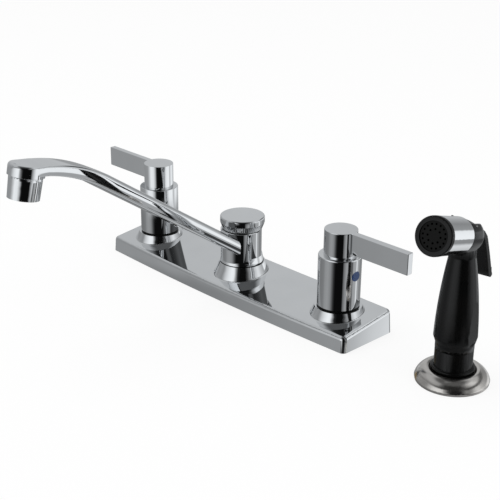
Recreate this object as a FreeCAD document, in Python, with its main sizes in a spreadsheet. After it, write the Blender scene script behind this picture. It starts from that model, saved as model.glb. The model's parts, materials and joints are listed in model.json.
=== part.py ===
import FreeCAD, Part
import math
import os
import re

import Sketcher

# A two handle kitchen faucet with a side sprayer, in millimetres. +Z is up, the deck is the plane Z = 0,
# the plate runs along X (hot side at -X), -Y is the front, and the spout turns about the Z axis.

os.makedirs("parts", exist_ok=True)
doc = FreeCAD.newDocument("Faucet")

SIZES = {
    # deck plate shell
    "plate_half_length": 132.0,
    "plate_back": 26.8,
    "plate_front": 27.0,
    "plate_bow": 3.4,
    "plate_corner": 4.0,
    "plate_draft": 2.8,
    "plate_blank": 26.0,
    "plate_top": 15.35,
    "plate_lean": 7.07,
    "plate_round": 3.0,
    "plate_span": 60.0,
    "wall": 2.2,
    # risers standing on the plate
    "handle_offset": 101.6,
    "riser_flare": 0.365,
    "riser_root": 8.0,
    "riser_foot_round": 1.5,
    "spout_riser_radius": 17.9,
    "spout_riser_top": 24.0,
    "handle_riser_radius": 17.5,
    "handle_riser_top": 20.3,
    # gasket and base plate inside the shell
    "gasket_top": 1.5,
    "base_top": 4.0,
    "shank_hole": 12.0,
    "tail_hole": 9.5,
    # valve bodies
    "shank_radius": 10.5,
    "shank_end": 14.0,
    "shank_thread_radius": 10.3,
    "shank_thread_end": 34.0,
    "supply_end_radius": 9.9,
    "supply_end_tip": 50.0,
    "inlet_bore": 6.5,
    "seat_radius": 7.6,
    "seat_top": 8.0,
    "water_floor": 4.4,
    "water_radius": 9.2,
    "valve_flange_radius": 13.5,
    "valve_flange_top": 7.0,
    "barrel_radius": 11.2,
    "barrel_top": 24.0,
    "tube_radius": 3.5,
    "tube_bore": 2.7,
    "tube_height": 8.0,
    # fixings under the deck
    "washer_radius": 17.0,
    "washer_thickness": 2.0,
    "nut_flats": 34.0,
    "nut_height": 8.0,
    # ceramic disc cartridges
    "housing_radius": 8.0,
    "housing_bottom": 9.0,
    "housing_flange_radius": 10.8,
    "housing_flange_top": 26.0,
    "housing_neck_radius": 7.5,
    "housing_top": 33.0,
    "housing_cavity_radius": 6.9,
    "housing_cavity_top": 22.0,
    "window_bottom": 15.5,
    "window_top": 20.0,
    "window_half_width": 3.0,
    "fixed_disc_top": 12.0,
    "seat_seal_top": 10.0,
    "disc_hole": 2.2,
    "disc_hole_offset": 3.4,
    "disc_gap": 0.05,
    "disc_thickness": 2.0,
    "upper_disc_radius": 6.8,
    "stem_radius": 4.0,
    "stem_fit": 0.06,
    "stem_foot_radius": 5.2,
    "stem_foot_height": 1.5,
    "stem_top": 56.0,
    # bonnet nuts and glide rings
    "bonnet_flange_radius": 12.7,
    "bonnet_flange_top": 22.0,
    "bonnet_flats": 21.8,
    "bonnet_top": 28.0,
    "glide_inner": 12.9,
    "glide_outer": 15.6,
    "glide_top": 21.3,
    # handles
    "skirt_bottom": 21.5,
    "skirt_radius": 15.8,
    "skirt_top": 60.0,
    "skirt_bevel": 1.0,
    "skirt_cavity_radius": 14.1,
    "skirt_cavity_top": 38.0,
    "hub_radius": 12.1,
    "hub_top": 79.3,
    "lever_reach": 62.5,
    "lever_thickness": 5.2,
    "lever_bottom": 63.4,
    "lever_root": 6.0,
    "lever_edge": 0.5,
    "plug_height": 47.2,
    "plug_radius": 3.9,
    "plug_seat": 13.2,
    "plug_face": 15.9,
    "plug_edge": 0.3,
    "screw_radius": 2.0,
    "screw_end": 11.5,
    "screw_key_radius": 1.0,
    "screw_key_depth": 2.5,
    # spout post and its rings
    "post_radius": 11.95,
    "post_top": 51.6,
    "post_bore": 6.5,
    "post_thread_radius": 9.0,
    "post_thread_top": 58.0,
    "block_half_length": 16.0,
    "block_half_depth": 9.0,
    "block_top": 12.0,
    "tube_stop": 12.0,
    "tail_radius": 8.5,
    "tail_end": 6.0,
    "outlet_bottom": 31.0,
    "outlet_top": 41.0,
    "outlet_groove_radius": 10.0,
    "outlet_hole": 3.0,
    "low_ring_height": 27.5,
    "high_ring_height": 45.5,
    "ring_groove_radius": 9.8,
    "ring_groove_half": 1.25,
    "ring_section": 1.09,
    "nipple_neck": 5.0,
    "nipple_neck_top": 3.0,
    "nipple_radius": 6.8,
    "nipple_end": 30.0,
    "nipple_bore": 3.2,
    # diverter in the top of the post
    "cage_bottom": 41.0,
    "cage_bore": 4.6,
    "cage_seat": 3.0,
    "cage_floor": 43.0,
    "cage_roof": 55.0,
    "cage_guide": 1.8,
    "cage_window_bottom": 47.0,
    "cage_window_top": 51.0,
    "cage_window_half": 2.0,
    "poppet_radius": 4.5,
    "poppet_thickness": 2.0,
    "poppet_lift_gap": 0.05,
    "poppet_stem": 1.7,
    "poppet_stem_top": 53.5,
    # spout turning on the post
    "glide_washer_outer": 16.9,
    "glide_washer_top": 24.3,
    "spout_bottom": 24.5,
    "spout_flange_radius": 17.4,
    "spout_flange_top": 28.0,
    "sleeve_radius": 16.05,
    "sleeve_forward": 1.3,
    "sleeve_top": 51.1,
    "sleeve_bore": 12.0,
    "cap_washer_bottom": 51.3,
    "cap_washer_radius": 15.3,
    "cap_foot_radius": 15.8,
    "cap_rim_radius": 17.4,
    "cap_rim_bottom": 55.3,
    "cap_top": 61.8,
    "cap_round": 3.8,
    # arm of the spout
    "arm_rise": 33.66,
    "arm_root": 5.0,
    "arm_root_middle": 34.8,
    "bend_forward": 136.1,
    "bend_radius": 115.4,
    "bend_end": 6.5,
    "arm_width": 23.0,
    "arm_root_height": 10.6,
    "arm_bend_height": 10.2,
    "arm_end_height": 6.1,
    "arm_wall": 1.7,
    "arm_corner": 0.3,
    # head of the spout, about an axis leaning outward
    "head_forward": 4.0,
    "head_drop": 4.11,
    "head_lean": 12.04,
    "head_foot_radius": 11.4,
    "head_radius": 12.2,
    "head_swell": 3.6,
    "head_height": 7.7,
    "head_round": 2.8,
    "head_bore": 9.8,
    "head_bore_depth": 5.5,
    # aerator
    "aerator_groove": 0.4,
    "aerator_groove_radius": 10.3,
    "aerator_radius": 11.13,
    "aerator_tip_radius": 10.6,
    "aerator_length": 15.2,
    "aerator_neck_top": 4.0,
    "aerator_bore": 8.9,
    "aerator_lip": 1.5,
    "aerator_mouth": 7.6,
    "insert_top": 2.0,
    "insert_hole": 0.9,
    "insert_ring": 5.6,
    "insert_hole_count": 12.0,
    "screen_thickness": 0.8,
    "aerator_washer_bore": 6.5,
    # side sprayer place, flange and holder
    "spray_x": 204.5,
    "spray_y": 1.0,
    "spray_turn": 9.6,
    "flange_foot_radius": 25.0,
    "flange_radius": 25.3,
    "flange_foot": 1.8,
    "flange_top": 9.2,
    "flange_crest": 18.2,
    "flange_dome": 10.5,
    "flange_mouth": 15.5,
    "flange_mouth_top": 8.4,
    "flange_ledge": 7.0,
    "flange_ledge_bottom": 5.5,
    "flange_wall": 2.3,
    "flange_hollow": 17.5,
    "holder_lip_radius": 14.9,
    "holder_lip_top": 11.2,
    "holder_lip_round": 0.8,
    "holder_radius": 13.0,
    "holder_top": 24.0,
    "holder_shank_radius": 12.5,
    "holder_shank_top": 4.0,
    "holder_shank_end": 14.0,
    "holder_thread_radius": 12.2,
    "holder_end": 40.0,
    "holder_bore": 10.6,
    "holder_washer_radius": 20.0,
    "holder_nut_flats": 36.0,
    # spray body
    "spray_ring_radius": 13.1,
    "spray_bottom": 24.3,
    "spray_ring_top": 28.0,
    "spray_shoulder_radius": 14.7,
    "spray_shoulder": 32.5,
    "spray_neck_radius": 8.9,
    "spray_neck_top": 90.0,
    "spray_swell": 420.0,
    "spray_core_top": 98.0,
    "spray_flat": 12.9,
    "spray_plug_radius": 10.2,
    "spray_plug_bottom": 2.0,
    "spray_bore": 5.5,
    "spray_bore_top": 80.0,
    "adapter_bottom": -12.0,
    "adapter_radius": 7.5,
    "adapter_neck_top": 14.0,
    "adapter_bore": 3.2,
    # head of the sprayer, about an axis leaning up to the front
    "head_back": 11.7,
    "head_rise": 107.5,
    "head_tilt": 16.4,
    "rear_radius": 12.1,
    "rear_straight": 13.0,
    "rear_end": 23.5,
    "rear_end_radius": 6.5,
    "rear_curve": 13.0,
    "core_radius": 10.6,
    "core_end": 31.2,
    "core_bore": 8.6,
    "core_bore_start": 3.5,
    "band_end": 30.2,
    "band_rear_radius": 12.1,
    "band_front_radius": 12.6,
    "face_end": 33.7,
    "face_ring_radius": 12.7,
    "face_ring_edge": 0.8,
    "face_mouth": 9.6,
    "face_recess": 1.0,
    "spray_hole": 0.7,
    "spray_hole_ring": 7.6,
    "spray_hole_count": 16.0,
    "inner_hole_ring": 4.4,
    "inner_hole_count": 8.0,
    # trigger and valve of the sprayer
    "slot_half_width": 7.8,
    "trigger_half_width": 7.3,
    "trigger_tip_half_width": 5.6,
    "slot_gap": 1.0,
    "travel_gap": 2.6,
    "trigger_nose_back": -8.0,
    "nose_above": 7.0,
    "trigger_chin_back": -8.9,
    "chin_above": 4.6,
    "press_back": -0.5,
    "press_below": 2.4,
    "trigger_bow": 28.5,
    "trigger_heel_back": 16.6,
    "heel_below": 15.1,
    "trigger_palm": 240.0,
    "trigger_lip_back": 31.0,
    "lip_below": 44.5,
    "trigger_toe_back": 33.1,
    "toe_below": 47.1,
    "trigger_curl": 2.6,
    "trigger_tip_back": 36.9,
    "tip_below": 46.2,
    "trigger_sweep": 500.0,
    "trigger_knee_back": 20.4,
    "knee_below": 12.2,
    "trigger_bend_back": 15.7,
    "bend_below": 7.2,
    "trigger_brow": 159.0,
    "knuckle_radius": 2.7,
    "pivot_back": -3.0,
    "pivot_above": 4.5,
    "pivot_radius": 1.5,
    "pivot_fit": 0.06,
    "pin_half_length": 9.4,
    "plunger_back": 4.0,
    "plunger_radius": 2.2,
    "plunger_fit": 0.06,
    "plunger_below": 5.7,
    "plunger_head_radius": 3.2,
    "plunger_head_bottom": 90.0,
    "plunger_head_top": 92.0,
    "valve_seal_top": 92.8,
    "valve_seat": 93.1,
    "valve_chamber_radius": 3.8,
    "chamber_overlap": 5.0,
    "valve_throat_radius": 3.0,
    "valve_throat_top": 98.0,
    "outlet_bore": 2.3,
    "outlet_rise": 22.6,
    "outlet_length": 26.0,
    "spring_radius": 2.7,
    "spring_wire": 0.4,
    "spring_turns": 5.0,
}

sheet = doc.addObject("Spreadsheet::Sheet", "Sizes")
for row, (name, number) in enumerate(SIZES.items(), start=1):
    sheet.set(f"A{row}", name)
    sheet.set(f"B{row}", str(number))
    sheet.setAlias(f"B{row}", name)
doc.recompute()

SIZE_NAME = re.compile(r"\b([a-z]\w*)\b(?!\()")
UPRIGHT = FreeCAD.Vector(0, 0, 1)
ALONG_X = FreeCAD.Vector(1, 0, 0)
ALONG_Y = FreeCAD.Vector(0, 1, 0)
MATCH = 0.05


def sized(formula):
    """The formula with each size name pointing at its cell."""
    return SIZE_NAME.sub(r"Sizes.\1", formula)


def number_of(formula):
    """The present value of a formula in size names."""
    return float(sheet.evalExpression(sized(formula)))


def bind(thing, path, formula):
    """Tie one property of an object to a formula in size names."""
    thing.setExpression(path, sized(formula))


def new_body(label):
    """A body that is one of the pieces, or a form that pieces are cut from."""
    body = doc.addObject("PartDesign::Body", label)
    body.Label = label
    return body


def plane_of(body, role):
    """One of the three planes through a body's own origin."""
    return next(feature for feature in body.Origin.OriginFeatures if feature.Role == role)


def place(thing, x="0", y="0", z="0", axis=UPRIGHT, angle="0"):
    """Move an object to a place given by formulas, turned by an angle in degrees."""
    base = FreeCAD.Vector(number_of(x), number_of(y), number_of(z))
    thing.Placement = FreeCAD.Placement(base, FreeCAD.Rotation(axis, number_of(angle)))
    for letter, formula in (("x", x), ("y", y), ("z", z)):
        bind(thing, f"Placement.Base.{letter}", formula)
    if angle != "0":
        bind(thing, "Placement.Rotation.Angle", angle)


def new_sketch(body, role="XZ_Plane", right="0", up="0", out="0", axis=UPRIGHT, angle="0"):
    """A sketch on a body's plane, moved and turned within that plane's own directions."""
    sketch = body.newObject("Sketcher::SketchObject", "outline")
    sketch.AttachmentSupport = [(plane_of(body, role), "")]
    sketch.MapMode = "FlatFace"
    base = FreeCAD.Vector(number_of(right), number_of(up), number_of(out))
    sketch.AttachmentOffset = FreeCAD.Placement(base, FreeCAD.Rotation(axis, number_of(angle)))
    for letter, formula in (("x", right), ("y", up), ("z", out)):
        if formula != "0":
            bind(sketch, f"AttachmentOffset.Base.{letter}", formula)
    if angle != "0":
        bind(sketch, "AttachmentOffset.Rotation.Angle", angle)
    return sketch


def limit(sketch, kind, *references, formula):
    """A dimension in a sketch, held by a formula."""
    index = sketch.addConstraint(Sketcher.Constraint(kind, *references, number_of(formula)))
    bind(sketch, f"Constraints[{index}]", formula)


def arc_between(start, end, radius):
    """The shorter arc from start to end, its centre on the left for a positive radius."""
    chord = end - start
    left = FreeCAD.Vector(-chord.y, chord.x, 0).normalize()
    reach = math.sqrt(radius**2 - (chord.Length / 2) ** 2)
    centre = start + chord / 2 + left * math.copysign(reach, radius)
    first, last = (start, end) if radius > 0 else (end, start)
    angles = [math.atan2(point.y - centre.y, point.x - centre.x) for point in (first, last)]
    if angles[1] < angles[0]:
        angles[1] += 2 * math.pi
    return Part.ArcOfCircle(Part.Circle(centre, UPRIGHT, abs(radius)), *angles)


def draw_outline(sketch, outline):
    """Draw a closed outline. Each corner is (across, up), or (across, up, radius) before an arc."""
    corners = [FreeCAD.Vector(number_of(item[0]), number_of(item[1]), 0) for item in outline]
    ends = []
    for index, item in enumerate(outline):
        start = corners[index]
        end = corners[(index + 1) % len(corners)]
        radius = number_of(item[2]) if len(item) == 3 else 0.0
        curve = arc_between(start, end, radius) if radius else Part.LineSegment(start, end)
        edge = sketch.addGeometry(curve)
        ends.append(((edge, 2), (edge, 1)) if radius < 0 else ((edge, 1), (edge, 2)))
    for index, (_, last) in enumerate(ends):
        first = ends[(index + 1) % len(ends)][0]
        sketch.addConstraint(Sketcher.Constraint("Coincident", *last, *first))
    for item, (first, _) in zip(outline, ends):
        for kind, formula, axis in (("DistanceX", item[0], -2), ("DistanceY", item[1], -1)):
            if formula == "0":
                sketch.addConstraint(Sketcher.Constraint("PointOnObject", *first, axis))
            else:
                limit(sketch, kind, -1, 1, *first, formula=formula)
        if len(item) == 3:
            limit(sketch, "Radius", first[0], formula=item[2].lstrip("-"))


def draw_circle(sketch, across, up, radius):
    """Draw a circle held by formulas."""
    centre = FreeCAD.Vector(number_of(across), number_of(up), 0)
    edge = sketch.addGeometry(Part.Circle(centre, UPRIGHT, number_of(radius)))
    for kind, formula, axis in (("DistanceX", across, -2), ("DistanceY", up, -1)):
        if formula == "0":
            sketch.addConstraint(Sketcher.Constraint("PointOnObject", edge, 3, axis))
        else:
            limit(sketch, kind, -1, 1, edge, 3, formula=formula)
    limit(sketch, "Radius", edge, formula=radius)


def turn(body, outline, kind="PartDesign::Revolution", **where):
    """Add (or take away, with a Groove) the outline turned about its sketch's upright axis."""
    sketch = new_sketch(body, **where)
    draw_outline(sketch, outline)
    feature = body.newObject(kind, "turned")
    feature.Profile = sketch
    feature.ReferenceAxis = (sketch, ["V_Axis"])
    feature.Angle = 360
    doc.recompute()
    return feature


def hollow(body, outline, **where):
    """Take the turned outline away."""
    return turn(body, outline, kind="PartDesign::Groove", **where)


def bar(radius, bottom, top):
    """The outline of a plain round bar or hole."""
    return [("0", bottom), (radius, bottom), (radius, top), ("0", top)]


def ring(inner, outer, bottom, top):
    """The outline of a plain ring."""
    return [(inner, bottom), (outer, bottom), (outer, top), (inner, top)]


def oblong(left, right, bottom, top):
    """The outline of a rectangle."""
    return [(left, bottom), (right, bottom), (right, top), (left, top)]


def hexagon(flats):
    """The outline of a hexagon with the given distance across its flats."""
    half = f"{flats} / 2"
    side = f"{flats} / 2 * tan(30)"
    tip = f"{flats} / 2 / cos(30)"
    return [
        (half, f"-{side}"),
        (half, side),
        ("0", tip),
        (f"-{half}", side),
        (f"-{half}", f"-{side}"),
        ("0", f"-{tip}"),
    ]


def pad(body, outline, length, midway=False, reverse=False, taper="0", **where):
    """Add an outline pushed out along its sketch's normal."""
    sketch = new_sketch(body, **where)
    draw_outline(sketch, outline)
    feature = body.newObject("PartDesign::Pad", "padded")
    feature.Profile = sketch
    bind(feature, "Length", length)
    feature.Midplane = midway
    feature.Reversed = reverse
    if taper != "0":
        bind(feature, "TaperAngle", taper)
    doc.recompute()
    return feature


def pocket(body, outline, length, midway=False, reverse=False, circle=None, **where):
    """Take away an outline, or a circle, pushed in against its sketch's normal."""
    sketch = new_sketch(body, **where)
    if circle:
        draw_circle(sketch, *circle)
    else:
        draw_outline(sketch, outline)
    before = body.Shape.Volume
    feature = body.newObject("PartDesign::Pocket", "pocketed")
    feature.Profile = sketch
    bind(feature, "Length", length)
    feature.Midplane = midway
    feature.Reversed = reverse
    doc.recompute()
    if body.Shape.Volume > before - MATCH:
        raise ValueError(f"{body.Label}: a pocket takes nothing away")
    return feature


def edges_where(shape, test):
    """The names of a shape's edges that pass a test."""
    return [f"Edge{index}" for index, edge in enumerate(shape.Edges, start=1) if test(edge)]


def soften(body, test, size, kind="PartDesign::Fillet"):
    """Round or bevel those edges of a body that pass a test."""
    base = body.Tip
    chosen = edges_where(base.Shape, test)
    if not chosen:
        raise ValueError(f"{body.Label}: no edge to soften")
    feature = body.newObject(kind, "softened")
    feature.Base = (base, chosen)
    bind(feature, "Radius" if kind == "PartDesign::Fillet" else "Size", size)
    doc.recompute()
    return feature


def hoop(radius, height):
    """A test for a full round edge about the upright axis."""
    size = number_of(radius)
    level = number_of(height)

    def test(edge):
        if not isinstance(edge.Curve, Part.Circle):
            return False
        same_size = abs(edge.Curve.Radius - size) < MATCH
        return same_size and abs(edge.Curve.Center.z - level) < MATCH

    return test


def around(body, feature, count):
    """Repeat a feature evenly about the body's upright axis."""
    pattern = body.newObject("PartDesign::PolarPattern", "repeated")
    pattern.Originals = [feature]
    pattern.Axis = (next(f for f in body.Origin.OriginFeatures if f.Role == "Z_Axis"), [""])
    pattern.Angle = 360
    bind(pattern, "Occurrences", count)
    body.Tip = pattern
    doc.recompute()
    return pattern


def combine(kind, label, base, *tools):
    """One boolean of whole forms: Part::Cut or Part::Common of a base and the rest."""
    result = doc.addObject(kind, label)
    result.Label = label
    if kind == "Part::MultiFuse":
        result.Shapes = [base, *tools]
    else:
        result.Base = base
        result.Tool = tools[0]
    doc.recompute()
    return result


def group(label, members):
    """Identical fasteners kept as separate solids in one piece."""
    result = doc.addObject("Part::Compound", label)
    result.Label = label
    result.Links = members
    doc.recompute()
    return result


pieces = []


def keep(*made):
    """List finished pieces for export."""
    pieces.extend(made)


# Deck plate -------------------------------------------------------------------------------------


def plate_outline(inset):
    """The plate's plan: a straight back, straight ends and a front that bows outward."""
    right = f"plate_half_length - {inset}"
    back = f"plate_back - {inset}"
    front = f"-(plate_front - {inset})"
    bow_radius = f"-((plate_half_length - {inset})^2 + plate_bow^2) / (2 * plate_bow)"
    return [(f"-({right})", back), (right, back), (right, front, bow_radius), (f"-({right})", front)]


def deck_form(label, inset):
    """The solid plate with its three risers, smaller all round by the inset."""
    form = new_body(label)
    pad(form, plate_outline(inset), "plate_blank", taper="-plate_draft", role="XY_Plane")
    tall = number_of("plate_blank") / 2
    soften(form, lambda edge: edge.BoundBox.ZLength > tall, f"plate_corner - {inset} / 2")
    level = f"plate_top - {inset}"
    drop = "plate_span * tan(plate_lean)"
    above = [
        ("-plate_span", f"{level} - {drop}"),
        ("plate_span", f"{level} + {drop}"),
        ("plate_span", "plate_blank + plate_span"),
        ("-plate_span", "plate_blank + plate_span"),
    ]
    pocket(form, above, "3 * plate_half_length", midway=True, role="YZ_Plane")
    return form


def add_risers(form, inset):
    """Stand the spout riser and the two handle risers on the plate."""
    risers = (
        ("0", "spout_riser_radius", "spout_riser_top"),
        ("-handle_offset", "handle_riser_radius", "handle_riser_top"),
        ("handle_offset", "handle_riser_radius", "handle_riser_top"),
    )
    for across, radius, top in risers:
        foot = f"{radius} - {inset} + riser_flare * ({top} - riser_root)"
        cone = [
            ("0", "riser_root"),
            (foot, "riser_root"),
            (f"{radius} - {inset}", f"{top} - {inset}"),
            ("0", f"{top} - {inset}"),
        ]
        turn(form, cone, right=across)


def on_plate_top(edge):
    """A test for edges lying in the plate's sloping top."""
    slope = math.tan(math.radians(number_of("plate_lean")))
    points = [vertex.Point for vertex in edge.Vertexes]
    return all(abs(point.z - number_of("plate_top") - slope * point.y) < MATCH for point in points)


def riser_foot(edge):
    """A test for the curves where the risers meet the plate's top."""
    if not on_plate_top(edge) or edge.BoundBox.XLength > number_of("handle_offset"):
        return False
    across = number_of("handle_riser_radius")
    return abs(edge.BoundBox.Center.y) < across / 2 and edge.BoundBox.YLength > 1.8 * across


outer_form = deck_form("outer_form", "0")
soften(outer_form, on_plate_top, "plate_round")
add_risers(outer_form, "0")
soften(outer_form, riser_foot, "riser_foot_round")
inner_form = deck_form("inner_form", "wall")
add_risers(inner_form, "wall")

openings = new_body("riser_openings")
turn(openings, bar("post_radius", "-1", "plate_blank + 5"))
turn_hot = new_body("opening_hot")
turn(turn_hot, bar("barrel_radius", "-1", "plate_blank + 5"))
place(turn_hot, x="-handle_offset")
turn_cold = new_body("opening_cold")
turn(turn_cold, bar("barrel_radius", "-1", "plate_blank + 5"))
place(turn_cold, x="handle_offset")
hollow_form = combine("Part::MultiFuse", "hollow_form", inner_form, openings, turn_hot, turn_cold)
deck_shell = combine("Part::Cut", "deck_shell", outer_form, hollow_form)
keep(deck_shell)


def base_slice(label, bottom, top):
    """A flat layer filling the shell from one height to another, with its three holes."""
    layer = new_body(f"{label}_layer")
    span = oblong("-2 * plate_half_length", "2 * plate_half_length", "-plate_span", "plate_span")
    pad(layer, span, f"{top} - {bottom}", role="XY_Plane", out=bottom)
    shanks = (("-handle_offset", "shank_hole"), ("handle_offset", "shank_hole"))
    for across, radius in (("0", "tail_hole"), *shanks):
        hollow(layer, bar(radius, f"{bottom} - 1", f"{top} + 1"), right=across)
    return combine("Part::Common", label, layer, inner_form)


keep(base_slice("base_gasket", "0", "gasket_top"), base_slice("base_plate", "gasket_top", "base_top"))

# Valve bodies, cross tubes and fixings ----------------------------------------------------------

SIDES = (("hot", "-handle_offset", "180"), ("cold", "handle_offset", "0"))


def valve_body(side, across, turned):
    """A brass valve body: threaded shank, flange, barrel, inlet seat and the side port."""
    body = new_body(f"valve_body_{side}")
    outline = [
        ("inlet_bore", "-supply_end_tip"),
        ("supply_end_radius", "-supply_end_tip"),
        ("supply_end_radius", "-shank_thread_end"),
        ("shank_thread_radius", "-shank_thread_end"),
        ("shank_thread_radius", "-shank_end"),
        ("shank_radius", "-shank_end"),
        ("shank_radius", "base_top"),
        ("valve_flange_radius", "base_top"),
        ("valve_flange_radius", "valve_flange_top"),
        ("barrel_radius", "valve_flange_top"),
        ("barrel_radius", "barrel_top"),
        ("water_radius", "barrel_top"),
        ("water_radius", "water_floor"),
        ("seat_radius", "water_floor"),
        ("seat_radius", "seat_top"),
        ("inlet_bore", "seat_top"),
    ]
    turn(body, outline)
    port = bar("tube_radius", "water_radius - 0.5", "valve_flange_radius + 1")
    hollow(body, port, up="tube_height", angle="90")
    place(body, x=across, angle=turned)
    return body


def cross_tube(side, across, turned):
    """The copper tube that carries water from a valve body to the post."""
    body = new_body(f"cross_tube_{side}")
    length = "handle_offset - water_radius"
    turn(body, ring("tube_bore", "tube_radius", "tube_stop", length), up="tube_height", angle="-90")
    place(body, angle=turned)
    return body


def bonnet_nut(side, across, turned):
    """The nut that clamps the shell and the cartridge on the valve body."""
    body = new_body(f"bonnet_nut_{side}")
    turn(body, ring("barrel_radius", "bonnet_flange_radius", "handle_riser_top", "bonnet_flange_top"))
    rise = "bonnet_top - bonnet_flange_top"
    pad(body, hexagon("bonnet_flats"), rise, role="XY_Plane", out="bonnet_flange_top")
    hollow(body, bar("barrel_radius", "bonnet_flange_top - 1", "housing_flange_top"))
    hollow(body, bar("housing_neck_radius", "housing_flange_top - 1", "bonnet_top + 1"))
    corner = [
        ("bonnet_flats / 2", "bonnet_top + 0.2"),
        ("bonnet_flats", "bonnet_top + 0.2"),
        ("bonnet_flats", "bonnet_top - bonnet_flats / 2 * tan(30)"),
    ]
    hollow(body, corner)
    place(body, x=across)
    return body


def glide_ring(side, across, turned):
    """The black ring that a handle turns on."""
    body = new_body(f"glide_ring_{side}")
    turn(body, ring("glide_inner", "glide_outer", "handle_riser_top", "glide_top"))
    place(body, x=across)
    return body


def cartridge_housing(side, across, turned):
    """The cartridge's housing, with a window on each side for the water to leave."""
    body = new_body(f"cartridge_housing_{side}")
    outline = [
        ("housing_cavity_radius", "housing_bottom"),
        ("housing_radius", "housing_bottom"),
        ("housing_radius", "barrel_top"),
        ("housing_flange_radius", "barrel_top"),
        ("housing_flange_radius", "housing_flange_top"),
        ("housing_neck_radius", "housing_flange_top"),
        ("housing_neck_radius", "housing_top"),
        ("stem_radius + stem_fit", "housing_top"),
        ("stem_radius + stem_fit", "housing_cavity_top"),
        ("housing_cavity_radius", "housing_cavity_top"),
    ]
    turn(body, outline)
    window = oblong("-window_half_width", "window_half_width", "window_bottom", "window_top")
    pocket(body, window, "3 * housing_radius", midway=True)
    place(body, x=across)
    return body


def seat_seal(side, across, turned):
    """The rubber ring between the inlet seat and the fixed disc."""
    body = new_body(f"seat_seal_{side}")
    outline = [
        ("inlet_bore - 1", "seat_top"),
        ("seat_radius", "seat_top"),
        ("seat_radius", "housing_bottom"),
        ("housing_cavity_radius", "housing_bottom"),
        ("housing_cavity_radius", "seat_seal_top"),
        ("inlet_bore - 1", "seat_seal_top"),
    ]
    turn(body, outline)
    place(body, x=across)
    return body


def fixed_disc(side, across, turned):
    """The lower ceramic disc, with two round water holes."""
    body = new_body(f"fixed_disc_{side}")
    turn(body, bar("housing_cavity_radius", "seat_seal_top", "fixed_disc_top"))
    for offset in ("disc_hole_offset", "-disc_hole_offset"):
        hollow(body, bar("disc_hole", "seat_seal_top - 1", "fixed_disc_top + 1"), out=offset)
    place(body, x=across)
    return body


def upper_disc(side, across, turned):
    """The ceramic disc that the stem turns, with two sector-like openings at its rim."""
    body = new_body(f"upper_disc_{side}")
    bottom = "fixed_disc_top + disc_gap"
    turn(body, bar("upper_disc_radius", bottom, f"{bottom} + disc_thickness"))
    for offset in ("disc_hole_offset + disc_hole", "-disc_hole_offset - disc_hole"):
        hollow(body, bar("disc_hole", f"{bottom} - 1", f"{bottom} + disc_thickness + 1"), right=offset)
    place(body, x=across)
    return body


def stem(side, across, turned):
    """The brass stem from the upper disc into the handle's socket."""
    body = new_body(f"stem_{side}")
    foot = "fixed_disc_top + disc_gap + disc_thickness"
    outline = [
        ("0", foot),
        ("stem_foot_radius", foot),
        ("stem_foot_radius", f"{foot} + stem_foot_height"),
        ("stem_radius", f"{foot} + stem_foot_height"),
        ("stem_radius", "stem_top"),
        ("0", "stem_top"),
    ]
    turn(body, outline)
    place(body, x=across)
    return body


def handle(side, across, turned):
    """A handle: round skirt, hub and a flat upright lever pointing outward."""
    body = new_body(f"handle_{side}")
    outline = [
        ("skirt_cavity_radius", "skirt_bottom"),
        ("skirt_radius", "skirt_bottom"),
        ("skirt_radius", "skirt_top - skirt_bevel"),
        ("skirt_radius - skirt_bevel", "skirt_top"),
        ("hub_radius", "skirt_top"),
        ("hub_radius", "hub_top"),
        ("0", "hub_top"),
        ("0", "stem_top"),
        ("stem_radius", "stem_top"),
        ("stem_radius", "skirt_cavity_top"),
        ("skirt_cavity_radius", "skirt_cavity_top"),
    ]
    turn(body, outline)
    lever = oblong("lever_root", "lever_reach", "lever_bottom", "hub_top")
    pad(body, lever, "lever_thickness", midway=True)
    outside = number_of("hub_radius + 0.5")
    above = number_of("skirt_top + 1")
    soften(body, lambda edge: edge.BoundBox.XMax > outside and edge.BoundBox.ZMin > above, "lever_edge")
    hollow(body, bar("screw_radius", "stem_radius - 1", "plug_seat + 0.1"), up="plug_height", angle="-90")
    hollow(body, bar("plug_radius", "plug_seat", "skirt_radius + 1"), up="plug_height", angle="-90")
    place(body, x=across, angle=turned)
    return body


def index_plug(side, across, turned):
    """The coloured plug over the handle's set screw."""
    body = new_body(f"index_plug_{side}")
    outline = [
        ("0", "plug_seat"),
        ("plug_radius", "plug_seat"),
        ("plug_radius", "plug_face - plug_edge"),
        ("plug_radius - plug_edge", "plug_face"),
        ("0", "plug_face"),
    ]
    turn(body, outline, up="plug_height", angle="-90")
    place(body, x=across, angle=turned)
    return body


def set_screw(side, across, turned):
    """The screw that holds the handle on its stem."""
    body = new_body(f"set_screw_{side}")
    turn(body, bar("screw_radius", "stem_radius", "screw_end"), up="plug_height", angle="-90")
    key = bar("screw_key_radius", "screw_end - screw_key_depth", "screw_end + 1")
    hollow(body, key, up="plug_height", angle="-90")
    place(body, x=across, angle=turned)
    return body


for name, across, turned in SIDES:
    for make in (valve_body, cross_tube, bonnet_nut, glide_ring, cartridge_housing, seat_seal, fixed_disc,
                 upper_disc, stem, handle, index_plug, set_screw):
        keep(make(name, across, turned))


def deck_washer(label, across):
    """A steel washer under the deck."""
    body = new_body(label)
    turn(body, ring("shank_thread_radius", "washer_radius", "-shank_end - washer_thickness", "-shank_end"))
    place(body, x=across)
    return body


def lock_nut(label, across):
    """A nut that pulls the faucet down on its deck."""
    body = new_body(label)
    top = "-shank_end - washer_thickness"
    pad(body, hexagon("nut_flats"), "nut_height", reverse=True, role="XY_Plane", out=top)
    hollow(body, bar("shank_thread_radius", f"{top} - nut_height - 1", f"{top} + 1"))
    place(body, x=across)
    return body


keep(group("shank_washers", [deck_washer(f"shank_washer_{side}", across) for side, across, _ in SIDES]))
keep(group("lock_nuts", [lock_nut(f"lock_nut_{side}", across) for side, across, _ in SIDES]))

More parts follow.
